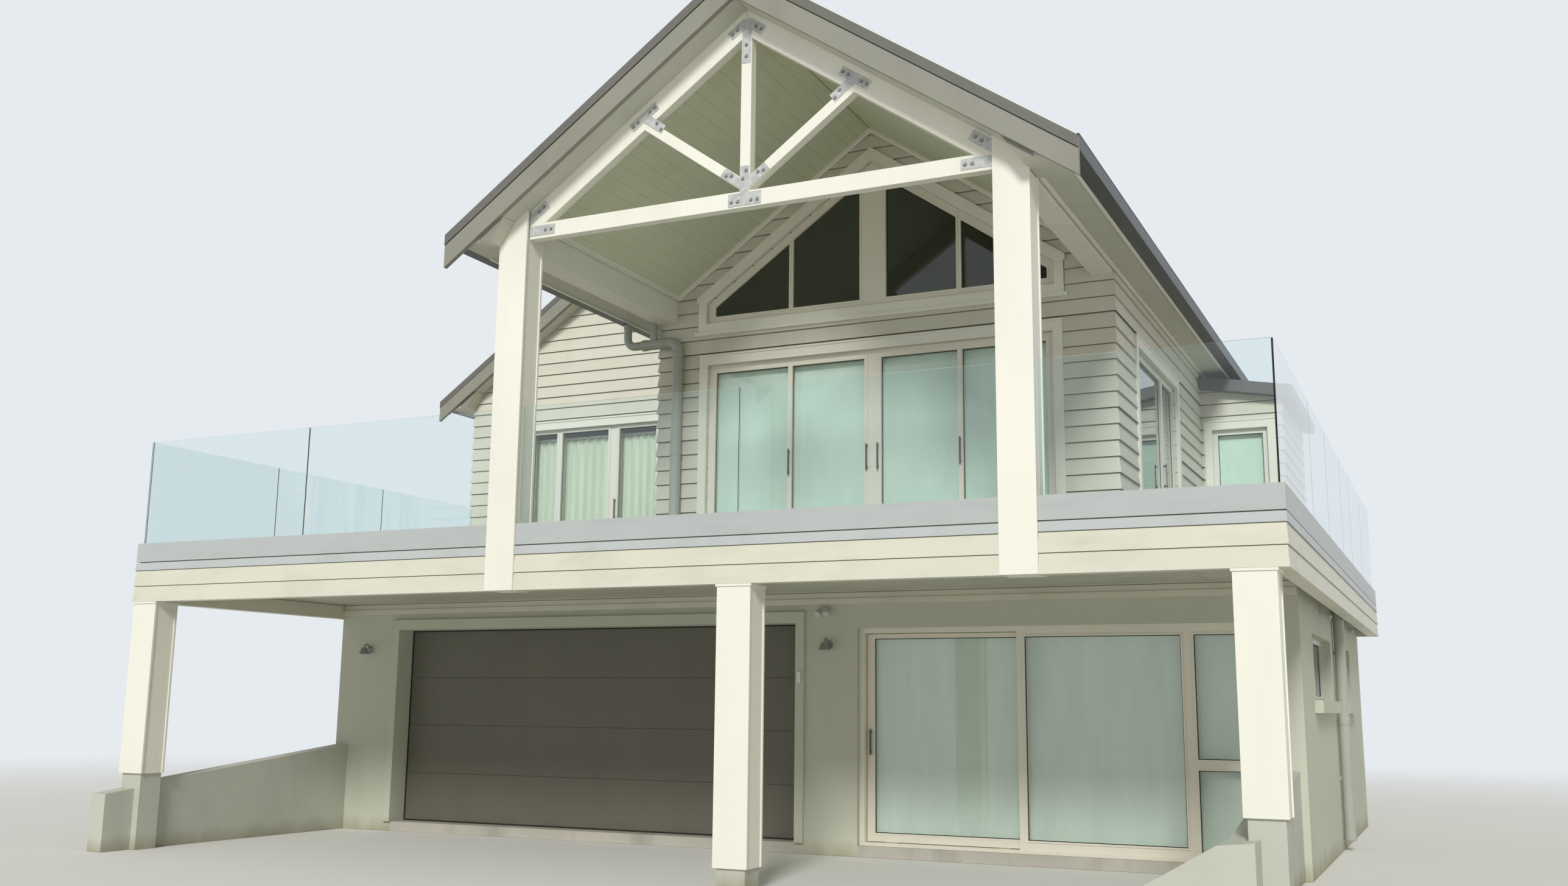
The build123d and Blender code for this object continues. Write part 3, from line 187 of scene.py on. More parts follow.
def grown(outline, amount):
    # the outline with each side moved out by amount (in, where it is negative)
    middle = Vector((sum(p[0] for p in outline), sum(p[1] for p in outline))) / len(outline)
    points = []
    for i in range(len(outline)):
        before, here, after = (Vector(outline[(i + k) % len(outline)]) for k in (-1, 0, 1))
        first, second = (here - before).normalized(), (after - here).normalized()
        first, second = Vector((first.y, -first.x)), Vector((second.y, -second.x))
        if first.dot(here - middle) < 0:
            first, second = -first, -second
        across = (first + second).normalized()
        points.append(tuple(here + across * (amount / max(0.3, across.dot(first)))))
    return points


def addRound(mesh, start, end, r0, r1, segments=24):
    # a round bar or cone between two places
    start, end = Vector(start), Vector(end)
    turn = (end - start).to_track_quat("Z", "Y").to_matrix().to_4x4()
    bmesh.ops.create_cone(
        mesh, cap_ends=True, segments=segments, radius1=r0, radius2=r1, depth=(end - start).length,
        matrix=Matrix.Translation((start + end) / 2) @ turn,
    )


def addTube(mesh, points, radius, segments=14):
    # a bent tube along places that lie in one upright plane
    points = [Vector(p) for p in points]
    side = (points[-1] - points[0]).cross(Vector((0, 0, 1))).normalized()
    rings = []
    for i, point in enumerate(points):
        way = (points[min(i + 1, len(points) - 1)] - points[max(i - 1, 0)]).normalized()
        up = side.cross(way).normalized()
        ring = []
        for k in range(segments):
            angle = 2 * math.pi * k / segments
            reach = (side * math.cos(angle) + up * math.sin(angle)) * radius
            ring.append(mesh.verts.new(point + reach))
        rings.append(ring)
    mesh.faces.new(rings[0])
    mesh.faces.new(list(reversed(rings[-1])))
    joinRows(mesh, rings)


def addLathe(mesh, profile, foot, segments=36):
    # a turned shape from (radius, height) pairs over its foot
    rings = []
    for radius, height in profile:
        ring = []
        for k in range(segments):
            angle = 2 * math.pi * k / segments
            place = Vector((radius * math.cos(angle), radius * math.sin(angle), height))
            ring.append(mesh.verts.new(Vector(foot) + place))
        rings.append(ring)
    joinRows(mesh, rings + rings[:1])


# Finishes

def startMaterial(name):
    material = bpy.data.materials.new(name)
    material.use_nodes = True
    tree = material.node_tree
    tree.nodes.clear()
    output = tree.nodes.new("ShaderNodeOutputMaterial")
    shader = tree.nodes.new("ShaderNodeBsdfPrincipled")
    tree.links.new(shader.outputs[0], output.inputs[0])
    return material, tree, shader, output


def placeNoise(tree, scale, detail, stretch=(1, 1, 1), kind="ShaderNodeTexNoise"):
    coordinates = tree.nodes.new("ShaderNodeTexCoord")
    mapping = tree.nodes.new("ShaderNodeMapping")
    mapping.inputs["Scale"].default_value = stretch
    tree.links.new(coordinates.outputs["Object"], mapping.inputs[0])
    texture = tree.nodes.new(kind)
    texture.inputs["Scale"].default_value = scale
    if "Detail" in texture.inputs:
        texture.inputs["Detail"].default_value = detail
    tree.links.new(mapping.outputs[0], texture.inputs["Vector"])
    return texture


def rampBetween(tree, source, low, high, start=0.3, end=0.7):
    ramp = tree.nodes.new("ShaderNodeValToRGB")
    ramp.color_ramp.elements[0].position = start
    ramp.color_ramp.elements[1].position = end
    ramp.color_ramp.elements[0].color = low
    ramp.color_ramp.elements[1].color = high
    tree.links.new(source, ramp.inputs[0])
    return ramp


def mathNode(tree, operation, first, second=None):
    node = tree.nodes.new("ShaderNodeMath")
    node.operation = operation
    for index, value in enumerate((first, second)):
        if value is None:
            continue
        if isinstance(value, (int, float)):
            node.inputs[index].default_value = value
        else:
            tree.links.new(value, node.inputs[index])
    return node.outputs[0]


def multiplied(tree, colour, factor, tone):
    # lays a tone over a colour where the factor is high
    blend = tree.nodes.new("ShaderNodeMix")
    blend.data_type = "RGBA"
    blend.blend_type = "MULTIPLY"
    tree.links.new(factor, blend.inputs["Factor"])
    tree.links.new(colour, blend.inputs["A"])
    blend.inputs["B"].default_value = tone
    return blend.outputs["Result"]


def shaded(tone, amount):
    return (tone[0] * amount, tone[1] * amount, tone[2] * amount, 1)


def heightOf(tree):
    coordinates = tree.nodes.new("ShaderNodeTexCoord")
    parts = tree.nodes.new("ShaderNodeSeparateXYZ")
    tree.links.new(coordinates.outputs["Object"], parts.inputs[0])
    return parts.outputs["Z"]


def driftRoughness(tree, shader, source, low, high):
    spread = tree.nodes.new("ShaderNodeMapRange")
    spread.inputs["To Min"].default_value = low
    spread.inputs["To Max"].default_value = high
    tree.links.new(source, spread.inputs["Value"])
    tree.links.new(spread.outputs[0], shader.inputs["Roughness"])


def raiseSurface(tree, shader, source, strength, depth):
    bump = tree.nodes.new("ShaderNodeBump")
    bump.inputs["Strength"].default_value = strength
    bump.inputs["Distance"].default_value = depth
    tree.links.new(source, bump.inputs["Height"])
    tree.links.new(bump.outputs[0], shader.inputs["Normal"])


coatMarks = {
    "grimeTone": (172, 166, 148), "boardTone": (205, 202, 190), "boardShare": 0.14,
    # lapShadeTone is the painted shade colour under each board lap
    "lapShadeTone": (146, 144, 134), "splashTone": (204, 198, 180), "splashStart": 0.25,
    "roughSpread": 0.07,
}


def coatedFinish(name, look):
    # paint or plaster: slow colour drift, soft dirt, a roughness drift and a fine surface
    material, tree, shader = startMaterial(name)[:3]
    tone = linear(*look["tone"])
    drift = placeNoise(tree, look.get("driftScale", 0.8), 4)
    low, high = shaded(tone, 1 - look["drift"]), shaded(tone, 1 + look["drift"])
    colour = rampBetween(tree, drift.outputs["Fac"], low, high).outputs[0]
    if "grime" in look:
        grime = placeNoise(tree, 3, 8, look.get("grimeStretch", (1, 1, 0.25)))
        mask = rampBetween(tree, grime.outputs["Fac"], (0, 0, 0, 1), (1, 1, 1, 1), 0.5, 0.8)
        share = mathNode(tree, "MULTIPLY", mask.outputs[0], look["grime"])
        dirtTone = linear(*look.get("grimeTone", coatMarks["grimeTone"]))
        colour = multiplied(tree, colour, share, dirtTone)
    if "boards" in look:
        course = mathNode(tree, "FLOOR", mathNode(tree, "DIVIDE", heightOf(tree), look["boards"]))
        chance = tree.nodes.new("ShaderNodeTexWhiteNoise")
        chance.noise_dimensions = "1D"
        tree.links.new(course, chance.inputs["W"])
        faded = mathNode(tree, "MULTIPLY", chance.outputs["Value"], coatMarks["boardShare"])
        colour = multiplied(tree, colour, faded, linear(*coatMarks["boardTone"]))
    if "laps" in look:
        # a painted shade line under each lapped board, where the lap casts its shadow
        start, cover, strip = look["laps"]
        course = mathNode(tree, "DIVIDE", mathNode(tree, "SUBTRACT", heightOf(tree), start), cover)
        line = mathNode(tree, "GREATER_THAN", mathNode(tree, "FRACT", course), 1 - strip / cover)
        colour = multiplied(tree, colour, line, linear(*coatMarks["lapShadeTone"]))
    if "splash" in look:
        # rain splash and soil at the foot of a wall
        spots = placeNoise(tree, 5, 8, (1, 1, 0.7))
        rise = mathNode(tree, "DIVIDE", heightOf(tree), look["splash"])
        start = mathNode(tree, "ADD", coatMarks["splashStart"], spots.outputs["Fac"])
        fall = mathNode(tree, "SUBTRACT", start, rise)
        clamped = tree.nodes.new("ShaderNodeClamp")
        tree.links.new(fall, clamped.inputs["Value"])
        colour = multiplied(tree, colour, clamped.outputs[0], linear(*coatMarks["splashTone"]))
    tree.links.new(colour, shader.inputs["Base Color"])
    fine = placeNoise(tree, look.get("fineScale", 60), 6, look.get("fineStretch", (1, 1, 1)))
    spread = coatMarks["roughSpread"]
    low, high = look["rough"] - spread, look["rough"] + spread
    driftRoughness(tree, shader, fine.outputs["Fac"], low, high)
    raiseSurface(tree, shader, fine.outputs["Fac"], look["bump"], look.get("bumpDepth", 0.002))
    shader.inputs["Metallic"].default_value = look.get("metal", 0)
    shader.inputs["Specular IOR Level"].default_value = look.get("specular", 0.4)
    return material


def paneFinish(name, look):
    # tinted glass that lets light through to what lies behind it
    material, tree, shader, output = startMaterial(name)
    shader.inputs["Base Color"].default_value = linear(*look["tone"])
    shader.inputs["Transmission Weight"].default_value = 1
    shader.inputs["IOR"].default_value = look["ior"]
    smear = placeNoise(tree, 1.5, 3)
    driftRoughness(tree, shader, smear.outputs["Fac"], 0, look["rough"])
    path = tree.nodes.new("ShaderNodeLightPath").outputs
    either = mathNode(tree, "MAXIMUM", path["Is Shadow Ray"], path["Is Diffuse Ray"])
    clear = tree.nodes.new("ShaderNodeBsdfTransparent")
    clear.inputs["Color"].default_value = linear(*look["shadow"])
    mix = tree.nodes.new("ShaderNodeMixShader")
    tree.links.new(either, mix.inputs[0])
    tree.links.new(shader.outputs[0], mix.inputs[1])
    tree.links.new(clear.outputs[0], mix.inputs[2])
    tree.links.new(mix.outputs[0], output.inputs[0])
    return material


def galvanisedFinish(name, look):
    # zinc spangle in pale greys
    material, tree, shader = startMaterial(name)[:3]
    spangle = placeNoise(tree, look["spangle"], 0, kind="ShaderNodeTexVoronoi")
    tone = linear(*look["tone"])
    low, high = shaded(tone, 0.82), shaded(tone, 1.1)
    ramp = rampBetween(tree, spangle.outputs["Color"], low, high, 0.1, 0.9)
    tree.links.new(ramp.outputs[0], shader.inputs["Base Color"])
    driftRoughness(tree, shader, spangle.outputs["Distance"], 0.42, 0.62)
    shader.inputs["Metallic"].default_value = look["metal"]
    return material


def plankFinish(name, look):
    # sawn timber with its grain along one way
    material, tree, shader = startMaterial(name)[:3]
    tone = linear(*look["tone"])
    grain = placeNoise(tree, 14, 8, look["grain"])
    low, high = shaded(tone, 0.72), shaded(tone, 1.18)
    ramp = rampBetween(tree, grain.outputs["Fac"], low, high, 0.3, 0.72)
    tree.links.new(ramp.outputs[0], shader.inputs["Base Color"])
    raiseSurface(tree, shader, grain.outputs["Fac"], 0.35, 0.002)
    shader.inputs["Roughness"].default_value = look["rough"]
    return material


def clothFinish(name, look):
    # woven cloth: two crossed wave patterns under a soft sheen
    material, tree, shader = startMaterial(name)[:3]
    tone = linear(*look["tone"])
    drift = placeNoise(tree, 6, 3, (1, 1, 0.2))
    ramp = rampBetween(tree, drift.outputs["Fac"], shaded(tone, 0.94), shaded(tone, 1.04))
    tree.links.new(ramp.outputs[0], shader.inputs["Base Color"])
    waves = []
    for way in ("X", "Z"):
        coordinates = tree.nodes.new("ShaderNodeTexCoord")
        wave = tree.nodes.new("ShaderNodeTexWave")
        wave.bands_direction = way
        wave.inputs["Scale"].default_value = look["weave"]
        tree.links.new(coordinates.outputs["Object"], wave.inputs["Vector"])
        waves.append(wave.outputs["Fac"])
    raiseSurface(tree, shader, mathNode(tree, "ADD", *waves), 0.2, 0.001)
    shader.inputs["Roughness"].default_value = 0.85
    shader.inputs["Sheen Weight"].default_value = 0.2
    return material


alongGrain = (0.15, 0.15, 4)
upGrain = (4, 4, 0.15)
# the boards' paint has painted shade lines under its laps
boardPaint = coatedFinish("boardPaint", {
    "tone": (214, 211, 194), "drift": 0.03, "rough": 0.5, "fineStretch": alongGrain,
    "bump": 0.12, "grime": 0.2, "boards": 0.15, "laps": (floorTop / 1000, 0.15, 0.008),
})
postPaint = coatedFinish("postPaint", {
    "tone": (233, 231, 216), "drift": 0.02, "rough": 0.45, "fineStretch": upGrain,
    "bump": 0.12, "grime": 0.14, "grimeTone": (205, 198, 176),
})
# the fascia paint has painted shade lines under its laps
fasciaPaint = coatedFinish("fasciaPaint", {
    "tone": (212, 211, 192), "drift": 0.03, "rough": 0.48, "fineStretch": alongGrain,
    "bump": 0.1, "grime": 0.2, "grimeStretch": (0.6, 0.6, 1.5),
    "laps": (deckLow.z / 1000, 0.151, 0.007),
})
capPaint = coatedFinish("capPaint", {
    "tone": (179, 183, 180), "drift": 0.03, "rough": 0.4, "bump": 0.06, "grime": 0.12,
    "grimeStretch": (0.7, 0.7, 3), "grimeTone": (150, 148, 142),
})
bandPaint = coatedFinish("bandPaint", {
    "tone": (187, 191, 189), "drift": 0.03, "rough": 0.4, "bump": 0.06, "grime": 0.2,
})
ceilingPaint = coatedFinish("ceilingPaint", {
    "tone": (216, 220, 192), "drift": 0.03, "rough": 0.55, "bump": 0.06, "grime": 0.1,
})
soffitPaint = coatedFinish("soffitPaint", {
    "tone": (188, 188, 172), "drift": 0.04, "rough": 0.65, "bump": 0.1, "grime": 0.2,
})
vergePaint = coatedFinish("vergePaint", {
    "tone": (193, 193, 177), "drift": 0.03, "rough": 0.55, "bump": 0.06, "grime": 0.1,
})
bargePaint = coatedFinish("bargePaint", {
    "tone": (140, 139, 126), "drift": 0.04, "rough": 0.5, "bump": 0.1, "grime": 0.2,
})
flashingPaint = coatedFinish("flashingPaint", {
    "tone": (106, 104, 96), "drift": 0.05, "rough": 0.42, "bump": 0.05, "grime": 0.2,
})
wallPlaster = coatedFinish("wallPlaster", {
    "tone": (196, 198, 180), "drift": 0.04, "driftScale": 0.5, "rough": 0.85,
    "fineScale": 90, "bump": 0.5, "bumpDepth": 0.003, "grime": 0.07, "specular": 0.2,
    "splash": 0.22,
})
lowPlaster = coatedFinish("lowPlaster", {
    "tone": (190, 192, 178), "drift": 0.07, "driftScale": 1.2, "rough": 0.88,
    "fineScale": 70, "bump": 0.55, "bumpDepth": 0.003, "grime": 0.14, "specular": 0.2,
    "grimeTone": (172, 170, 156), "splash": 0.2,
})
slabConcrete = coatedFinish("slabConcrete", {
    "tone": (182, 178, 166), "drift": 0.08, "driftScale": 1.5, "rough": 0.9,
    "fineScale": 45, "bump": 0.4, "bumpDepth": 0.003, "grime": 0.5, "specular": 0.2,
    "grimeTone": (140, 134, 118),
})
roofSheet = coatedFinish("roofSheet", {
    "tone": (98, 99, 96), "drift": 0.06, "rough": 0.42, "bump": 0.05, "grime": 0.3,
    "grimeTone": (150, 148, 142), "specular": 0.5,
})
gutterPaint = coatedFinish("gutterPaint", {
    "tone": (64, 68, 70), "drift": 0.05, "rough": 0.4, "bump": 0.04, "grime": 0.25,
})
pipePaint = coatedFinish("pipePaint", {
    "tone": (168, 172, 160), "drift": 0.04, "rough": 0.42, "bump": 0.05, "grime": 0.2,
})
doorPaint = coatedFinish("doorPaint", {
    "tone": (112, 110, 98), "drift": 0.05, "driftScale": 0.6, "rough": 0.55,
    "fineScale": 260, "bump": 0.35, "bumpDepth": 0.001, "grime": 0.15, "specular": 0.3,
    "splash": 0.25,
})
joineryCream = coatedFinish("joineryCream", {
    "tone": (231, 226, 209), "drift": 0.02, "rough": 0.36, "bump": 0.04, "specular": 0.5,
    "grime": 0.12,
})
windowPaint = coatedFinish("windowPaint", {
    "tone": (224, 223, 212), "drift": 0.02, "rough": 0.4, "bump": 0.04, "grime": 0.12,
})
sealRubber = coatedFinish("sealRubber", {
    "tone": (34, 34, 32), "drift": 0.1, "rough": 0.65, "bump": 0.15,
})
lampGrey = coatedFinish("lampGrey", {
    "tone": (150, 152, 148), "drift": 0.06, "rough": 0.4, "bump": 0.05, "grime": 0.2, "metal": 0.4,
})
sensorGrey = coatedFinish("sensorGrey", {
    "tone": (200, 200, 194), "drift": 0.04, "rough": 0.45, "bump": 0.05, "grime": 0.3,
})
handleMetal = coatedFinish("handleMetal", {
    "tone": (86, 84, 78), "drift": 0.04, "rough": 0.35, "bump": 0.03, "metal": 0.5,
})
keyPlastic = coatedFinish("keyPlastic", {
    "tone": (228, 228, 222), "drift": 0.02, "rough": 0.4, "bump": 0.03, "grime": 0.15,
})
plateZinc = galvanisedFinish("plateZinc", {"tone": (190, 191, 187), "spangle": 28, "metal": 0.15})
boltZinc = galvanisedFinish("boltZinc", {"tone": (152, 152, 149), "spangle": 60, "metal": 0.4})
deckTimber = plankFinish("deckTimber", {
    "tone": (140, 128, 112), "grain": (0.12, 3, 3), "rough": 0.75,
})
floorTimber = plankFinish("floorTimber", {
    "tone": (150, 128, 100), "grain": (3, 0.12, 3), "rough": 0.5,
})
railGlass = paneFinish("railGlass", {
    "tone": (240, 249, 249), "shadow": (246, 250, 250), "ior": 1.45, "rough": 0.01,
})
doorGlass = paneFinish("doorGlass", {
    "tone": (240, 247, 243), "shadow": (245, 249, 247), "ior": 1.45, "rough": 0.01,
})
bayPane = paneFinish("bayPane", {
    "tone": (236, 241, 238), "shadow": (248, 250, 249), "ior": 1.5, "rough": 0.02,
})
darkGlass = paneFinish("darkGlass", {
    "tone": (190, 198, 188), "shadow": (200, 206, 198), "ior": 1.5, "rough": 0.02,
})
curtainCloth = clothFinish("curtainCloth", {"tone": (228, 230, 210), "weave": 160})
blindCloth = clothFinish("blindCloth", {"tone": (238, 250, 240), "weave": 220})

nodeFinish = {
    "ground_slab": slabConcrete, "post_plinths": lowPlaster, "left_retaining_wall": lowPlaster,
    "right_stub_wall": lowPlaster, "fascia_band": bandPaint, "deck_cap": capPaint,
    "deck_boards": deckTimber, "upper_floor": floorTimber, "truss_plates": plateZinc,
    "floor_structure": soffitPaint, "rim_beam": fasciaPaint, "fascia_boards": fasciaPaint,
    "box_beam": fasciaPaint, "barge_boards": bargePaint, "barge_flashings": flashingPaint,
    "roof_left": vergePaint, "roof_right": vergePaint, "wing_roof": vergePaint,
    "ridge_caps": roofSheet, "rear_bay_roof": roofSheet, "eave_gutters": gutterPaint,
    "bay_frame": joineryCream, "sliding_leaf": joineryCream, "upper_door_frames": joineryCream,
    "gable_window_frame": joineryCream, "window_frames": windowPaint,
    "bay_glass": bayPane, "sliding_leaf_glass": bayPane, "window_glass": darkGlass,
    "upper_glass": doorGlass, "glass_balustrade": railGlass, "downpipes": pipePaint,
    "wall_fittings": lampGrey, "garage_door": doorPaint,
}
plasterNodes = (
    "front_wall_left_pier", "front_wall_middle_pier", "front_wall_right_pier",
    "front_wall_lintels", "lower_left_wall", "lower_right_wall", "lower_back_wall",
    "garage_facings", "window_sills",
)
boardNodes = (
    "gable_wall", "upper_left_wall", "upper_right_wall", "upper_back_wall", "valley_beam",
    "wing_front_wall", "wing_left_wall", "rear_bay_walls",
)
nodeFinish.update({nodeName: wallPlaster for nodeName in plasterNodes})
nodeFinish.update({nodeName: boardPaint for nodeName in boardNodes})
for nodeName, node in nodes.items():
    finish = nodeFinish.get(nodeName, postPaint)
    if not node.data.materials:
        node.data.materials.append(finish)
    for index in range(len(node.data.materials)):
        node.data.materials[index] = finish
print("finishes set on", len(nodes), "nodes")


# Weatherboards

weatherboards = {"cover": 150, "butt": 24, "head": 4}


def spansAt(outline, z):
    # where a level line crosses a closed outline of (u, z) points
    hits = []
    for i in range(len(outline)):
        (u0, z0), (u1, z1) = outline[i], outline[(i + 1) % len(outline)]
        if (z0 <= z < z1) or (z1 <= z < z0):
            hits.append(u0 + (z - z0) / (z1 - z0) * (u1 - u0))
    hits.sort()
    return list(zip(hits[0::2], hits[1::2]))


def cutSpans(spans, holes):
    for h0, h1 in holes:
        kept = []
        for s0, s1 in spans:
            if h1 <= s0 or h0 >= s1:
                kept.append((s0, s1))
                continue
            if h0 > s0:
                kept.append((s0, h0))
            if h1 < s1:
                kept.append((h1, s1))
        spans = kept
    return spans


def boardWall(
    name, outline, holes, at, cover, butt, head, mitres=(), paint=boardPaint, slot="weatherboard",
):
    # lapped boards over one wall, mitred at the corners whose u is in mitres
    mesh = bmesh.new()
    low = min(z for u, z in outline)
    high = max(z for u, z in outline)
    marks = {z for shape in (outline, *holes) for u, z in shape}

    def openSpans(z):
        gaps = [gap for hole in holes for gap in spansAt(hole, z)]
        return cutSpans(spansAt(outline, z), gaps)

    course = 0
    while low + course * cover < high - 0.5:
        bottom = low + course * cover
        top = min(bottom + cover, high)
        cuts = sorted({bottom, top} | {z for z in marks if bottom < z < top})
        for z0, z1 in zip(cuts, cuts[1:]):
            if z1 - z0 < 2:
                continue
            ends = [openSpans(z0 + 0.01), openSpans(z1 - 0.01)]
            if len(ends[0]) != len(ends[1]):
                ends = [openSpans((z0 + z1) / 2)] * 2
            proud0 = butt + (head - butt) * (z0 - bottom) / cover
            proud1 = butt + (head - butt) * (z1 - bottom) / cover
            for (a0, b0), (a1, b1) in zip(*ends):
                if b0 - a0 < 4 and b1 - a1 < 4:
                    continue
                fa0, fb0, fa1, fb1 = a0, b0, a1, b1
                for corner in mitres:
                    if abs(a0 - corner) < 1:
                        fa0, fa1 = a0 - proud0, a1 - proud1
                    if abs(b0 - corner) < 1:
                        fb0, fb1 = b0 + proud0, b1 + proud1
                foot = [at(fa0, z0, proud0), at(fb0, z0, proud0)]
                front = foot + [at(fb1, z1, proud1), at(fa1, z1, proud1)]
                back = [at(a0, z0, 0), at(b0, z0, 0), at(b1, z1, 0), at(a1, z1, 0)]
                addPrism(mesh, front, back)
        course += 1
    return makePiece(name, mesh, paint, slot=slot)


doorCapHigh = 18


def doorHole(u0, u1):
    # the room that a door's facing boards and their cap take
    head = doorHead + facingWidth + doorCapHigh
    return rectangle(u0 - facingWidth, u1 + facingWidth, floorTop - 1, head)


def windowHole(u0, u1, z0, z1):
    return rectangle(u0 - facingWidth, u1 + facingWidth, z0 - facingWidth, z1 + facingWidth)


upperDoorHalf = 1815
sliderSpan = (3729, 5777)
wingDoorSpan = (-5670, -3770)
wingSideSpan = (6800, 8200)
rearSill = 3700
rearSpans = ((-1200, 1200), (wingRidge - 800, wingRidge + 800))
bayWindow = (2520, 3150, 3000, 4650)
bayFront = bayLow.y
bayOuter = bayHigh.x
bayEave = bayHigh.z
bayFall = 0.176


def bayUnder(x):
    return bayEave - bayFall * (x - gableHalf)


rakedOutline = [
    (rakedLow.x, rakedLow.z), (rakedHigh.x, rakedLow.z),
    (rakedHigh.x, rakedHigh.z - slope * rakedHigh.x), (0, rakedHigh.z),
    (rakedLow.x, rakedHigh.z - slope * rakedHigh.x),
]
rakedTrim = facingWidth + 8
eaveWall = mainUnder(gableHalf)
wingShape = [
    (valleyX, mainUnder(valleyX)), (wingRidge, wingCeilingRidge), (deckLow.x, wingUnder(deckLow.x)),
]
boardWall(
    "gableBoards",
    [(-gableHalf, floorTop), (gableHalf, floorTop), (gableHalf, eaveWall), (0, ceilingRidge),
     (-gableHalf, eaveWall)],
    [doorHole(-upperDoorHalf, upperDoorHalf), grown(rakedOutline, rakedTrim)],
    frontAt(gableFront), mitres=(-gableHalf, gableHalf), **weatherboards,
)
boardWall(
    "rightBoards", rectangle(gableFront, bayFront, floorTop, eaveSoffit), [doorHole(*sliderSpan)],
    rightAt(gableHalf), mitres=(gableFront,), **weatherboards,
)
boardWall(
    "leftBoards", rectangle(gableFront, wingFront, floorTop, eaveSoffit), [],
    leftAt(-gableHalf), mitres=(gableFront,), **weatherboards,
)
boardWall(
    "wingFrontBoards",
    [(deckLow.x, floorTop), (-gableHalf, floorTop), (-gableHalf, eaveWall), *wingShape],
    [doorHole(*wingDoorSpan)], frontAt(wingFront), mitres=(deckLow.x,), **weatherboards,
)
boardWall(
    "wingLeftBoards", rectangle(wingFront, houseBack, floorTop, wingEaveSoffit),
    [windowHole(*wingSideSpan, rearSill, doorHead)], leftAt(deckLow.x),
    mitres=(wingFront, houseBack), **weatherboards,
)
boardWall(
    "backBoards",
    [(deckLow.x, floorTop), (gableHalf, floorTop), (gableHalf, eaveWall), (0, ceilingRidge),
     *wingShape],
    [windowHole(*span, rearSill, doorHead) for span in rearSpans], backAt(houseBack),
    mitres=(deckLow.x,), **weatherboards,
)
bayShape = [
    (gableHalf, floorTop), (bayOuter, floorTop), (bayOuter, bayUnder(bayOuter)),
    (gableHalf, bayUnder(gableHalf)),
]
boardWall(
    "bayFrontBoards", bayShape, [windowHole(*bayWindow)], frontAt(bayFront),
    mitres=(bayOuter,), **weatherboards,
)
boardWall(
    "baySideBoards", rectangle(bayFront, houseBack, floorTop, bayUnder(bayOuter)), [],
    rightAt(bayOuter), mitres=(bayFront, houseBack), **weatherboards,
)
boardWall("bayBackBoards", bayShape, [], backAt(houseBack), mitres=(bayOuter,), **weatherboards)

# facing boards round the windows at the sides and back, as round the doors
facings = {"thick": 30, "capHigh": 16, "capProud": 9, "capLong": 12, "soft": 2}
facingMesh = bmesh.new()
facedWindows = [
    (leftAt(deckLow.x), (*wingSideSpan, rearSill, doorHead)), (frontAt(bayFront), bayWindow),
    *[(backAt(houseBack), (*span, rearSill, doorHead)) for span in rearSpans],
]
for at, (u0, u1, z0, z1) in facedWindows:
    outer = windowHole(u0, u1, z0, z1)
    addRing(facingMesh, at, outer, rectangle(u0, u1, z0, z1), 0, facings["thick"])
    capLeft, capRight = outer[0][0] - facings["capLong"], outer[1][0] + facings["capLong"]
    for level in (z1 + facingWidth, z0 - facingWidth - facings["capHigh"]):
        addShape(
            facingMesh, at, rectangle(capLeft, capRight, level, level + facings["capHigh"]),
            0, facings["thick"] + facings["capProud"], facings["soft"],
        )
makePiece("windowFacings", facingMesh, postPaint, slot="white_paint")
print("weatherboards done")


# Deck edge: two lapped boards on each side, between the posts at the front

edgeBoards = {"cover": (deckHigh.z - deckLow.z) / 2, "butt": 12, "head": 3}
postLowPlan, postHighPlan = planBox("tall_posts")
postOuter = postHighPlan.x
postInner = planBox("truss_chord")[1].x
deckSides = (
    ("Front", frontAt(deckLow.y), (deckLow.x, deckHigh.x)),
    ("Left", leftAt(deckLow.x), (deckLow.y, deckHigh.y)),
    ("Right", rightAt(deckHigh.x), (deckLow.y, deckHigh.y)),
    ("Back", backAt(deckHigh.y), (deckLow.x, deckHigh.x)),
)
for name, at, span in deckSides:
    cuts = ((-postOuter, -postInner), (postInner, postOuter)) if name == "Front" else ()
    boardWall(
        "deckEdge" + name, rectangle(*span, deckLow.z, deckHigh.z),
        [rectangle(*cut, deckLow.z - 1, deckHigh.z + 1) for cut in cuts],
        at, mitres=span, paint=fasciaPaint, slot="fascia_paint", **edgeBoards,
    )

# the deck's edge above them: lip, band, an open shadow line and the cap's skirt
edgeTrim = {"lip": 12, "band": 72, "shadow": 10, "lipProud": 13, "bandProud": 8, "capProud": 6}
lipTop = deckHigh.z + edgeTrim["lip"]
bandTop = deckHigh.z + edgeTrim["band"]
skirtFoot = bandTop + edgeTrim["shadow"]
edgeTrims = (
    ("deckLip", deckHigh.z, lipTop, edgeTrim["lipProud"], bandPaint, "fascia_paint"),
    ("deckBand", lipTop, bandTop, edgeTrim["bandProud"], bandPaint, "fascia_paint"),
    ("capSkirt", skirtFoot, capLow.z, edgeTrim["capProud"], capPaint, "cap_paint"),
)
for name, at, span in deckSides:
    for label, z0, z1, proud, paint, slot in edgeTrims:
        trim = boardWall(
            label + name, rectangle(*span, z0, z1), [], at, cover=z1 - z0, butt=proud, head=proud,
            mitres=span, paint=paint, slot=slot,
        )
        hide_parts("fascia_band")

# lining sheets under the deck
lining = {"long": 2400, "wide": 1195, "gap": 5, "thick": 6, "rimInset": 112, "least": 10}


def layLining(mesh, x0, x1, y0, y1, top, long, wide, gap, thick, rimInset, least):
    x1 -= rimInset
    while x0 < x1 - least:
        sheetX = min(x0 + wide, x1)
        y = y0
        while y < y1 - least:
            sheetY = min(y + long, y1)
            addBar(mesh, x0, sheetX, y, sheetY, top - thick, top, 1)
            y = sheetY + gap
        x0 = sheetX + gap


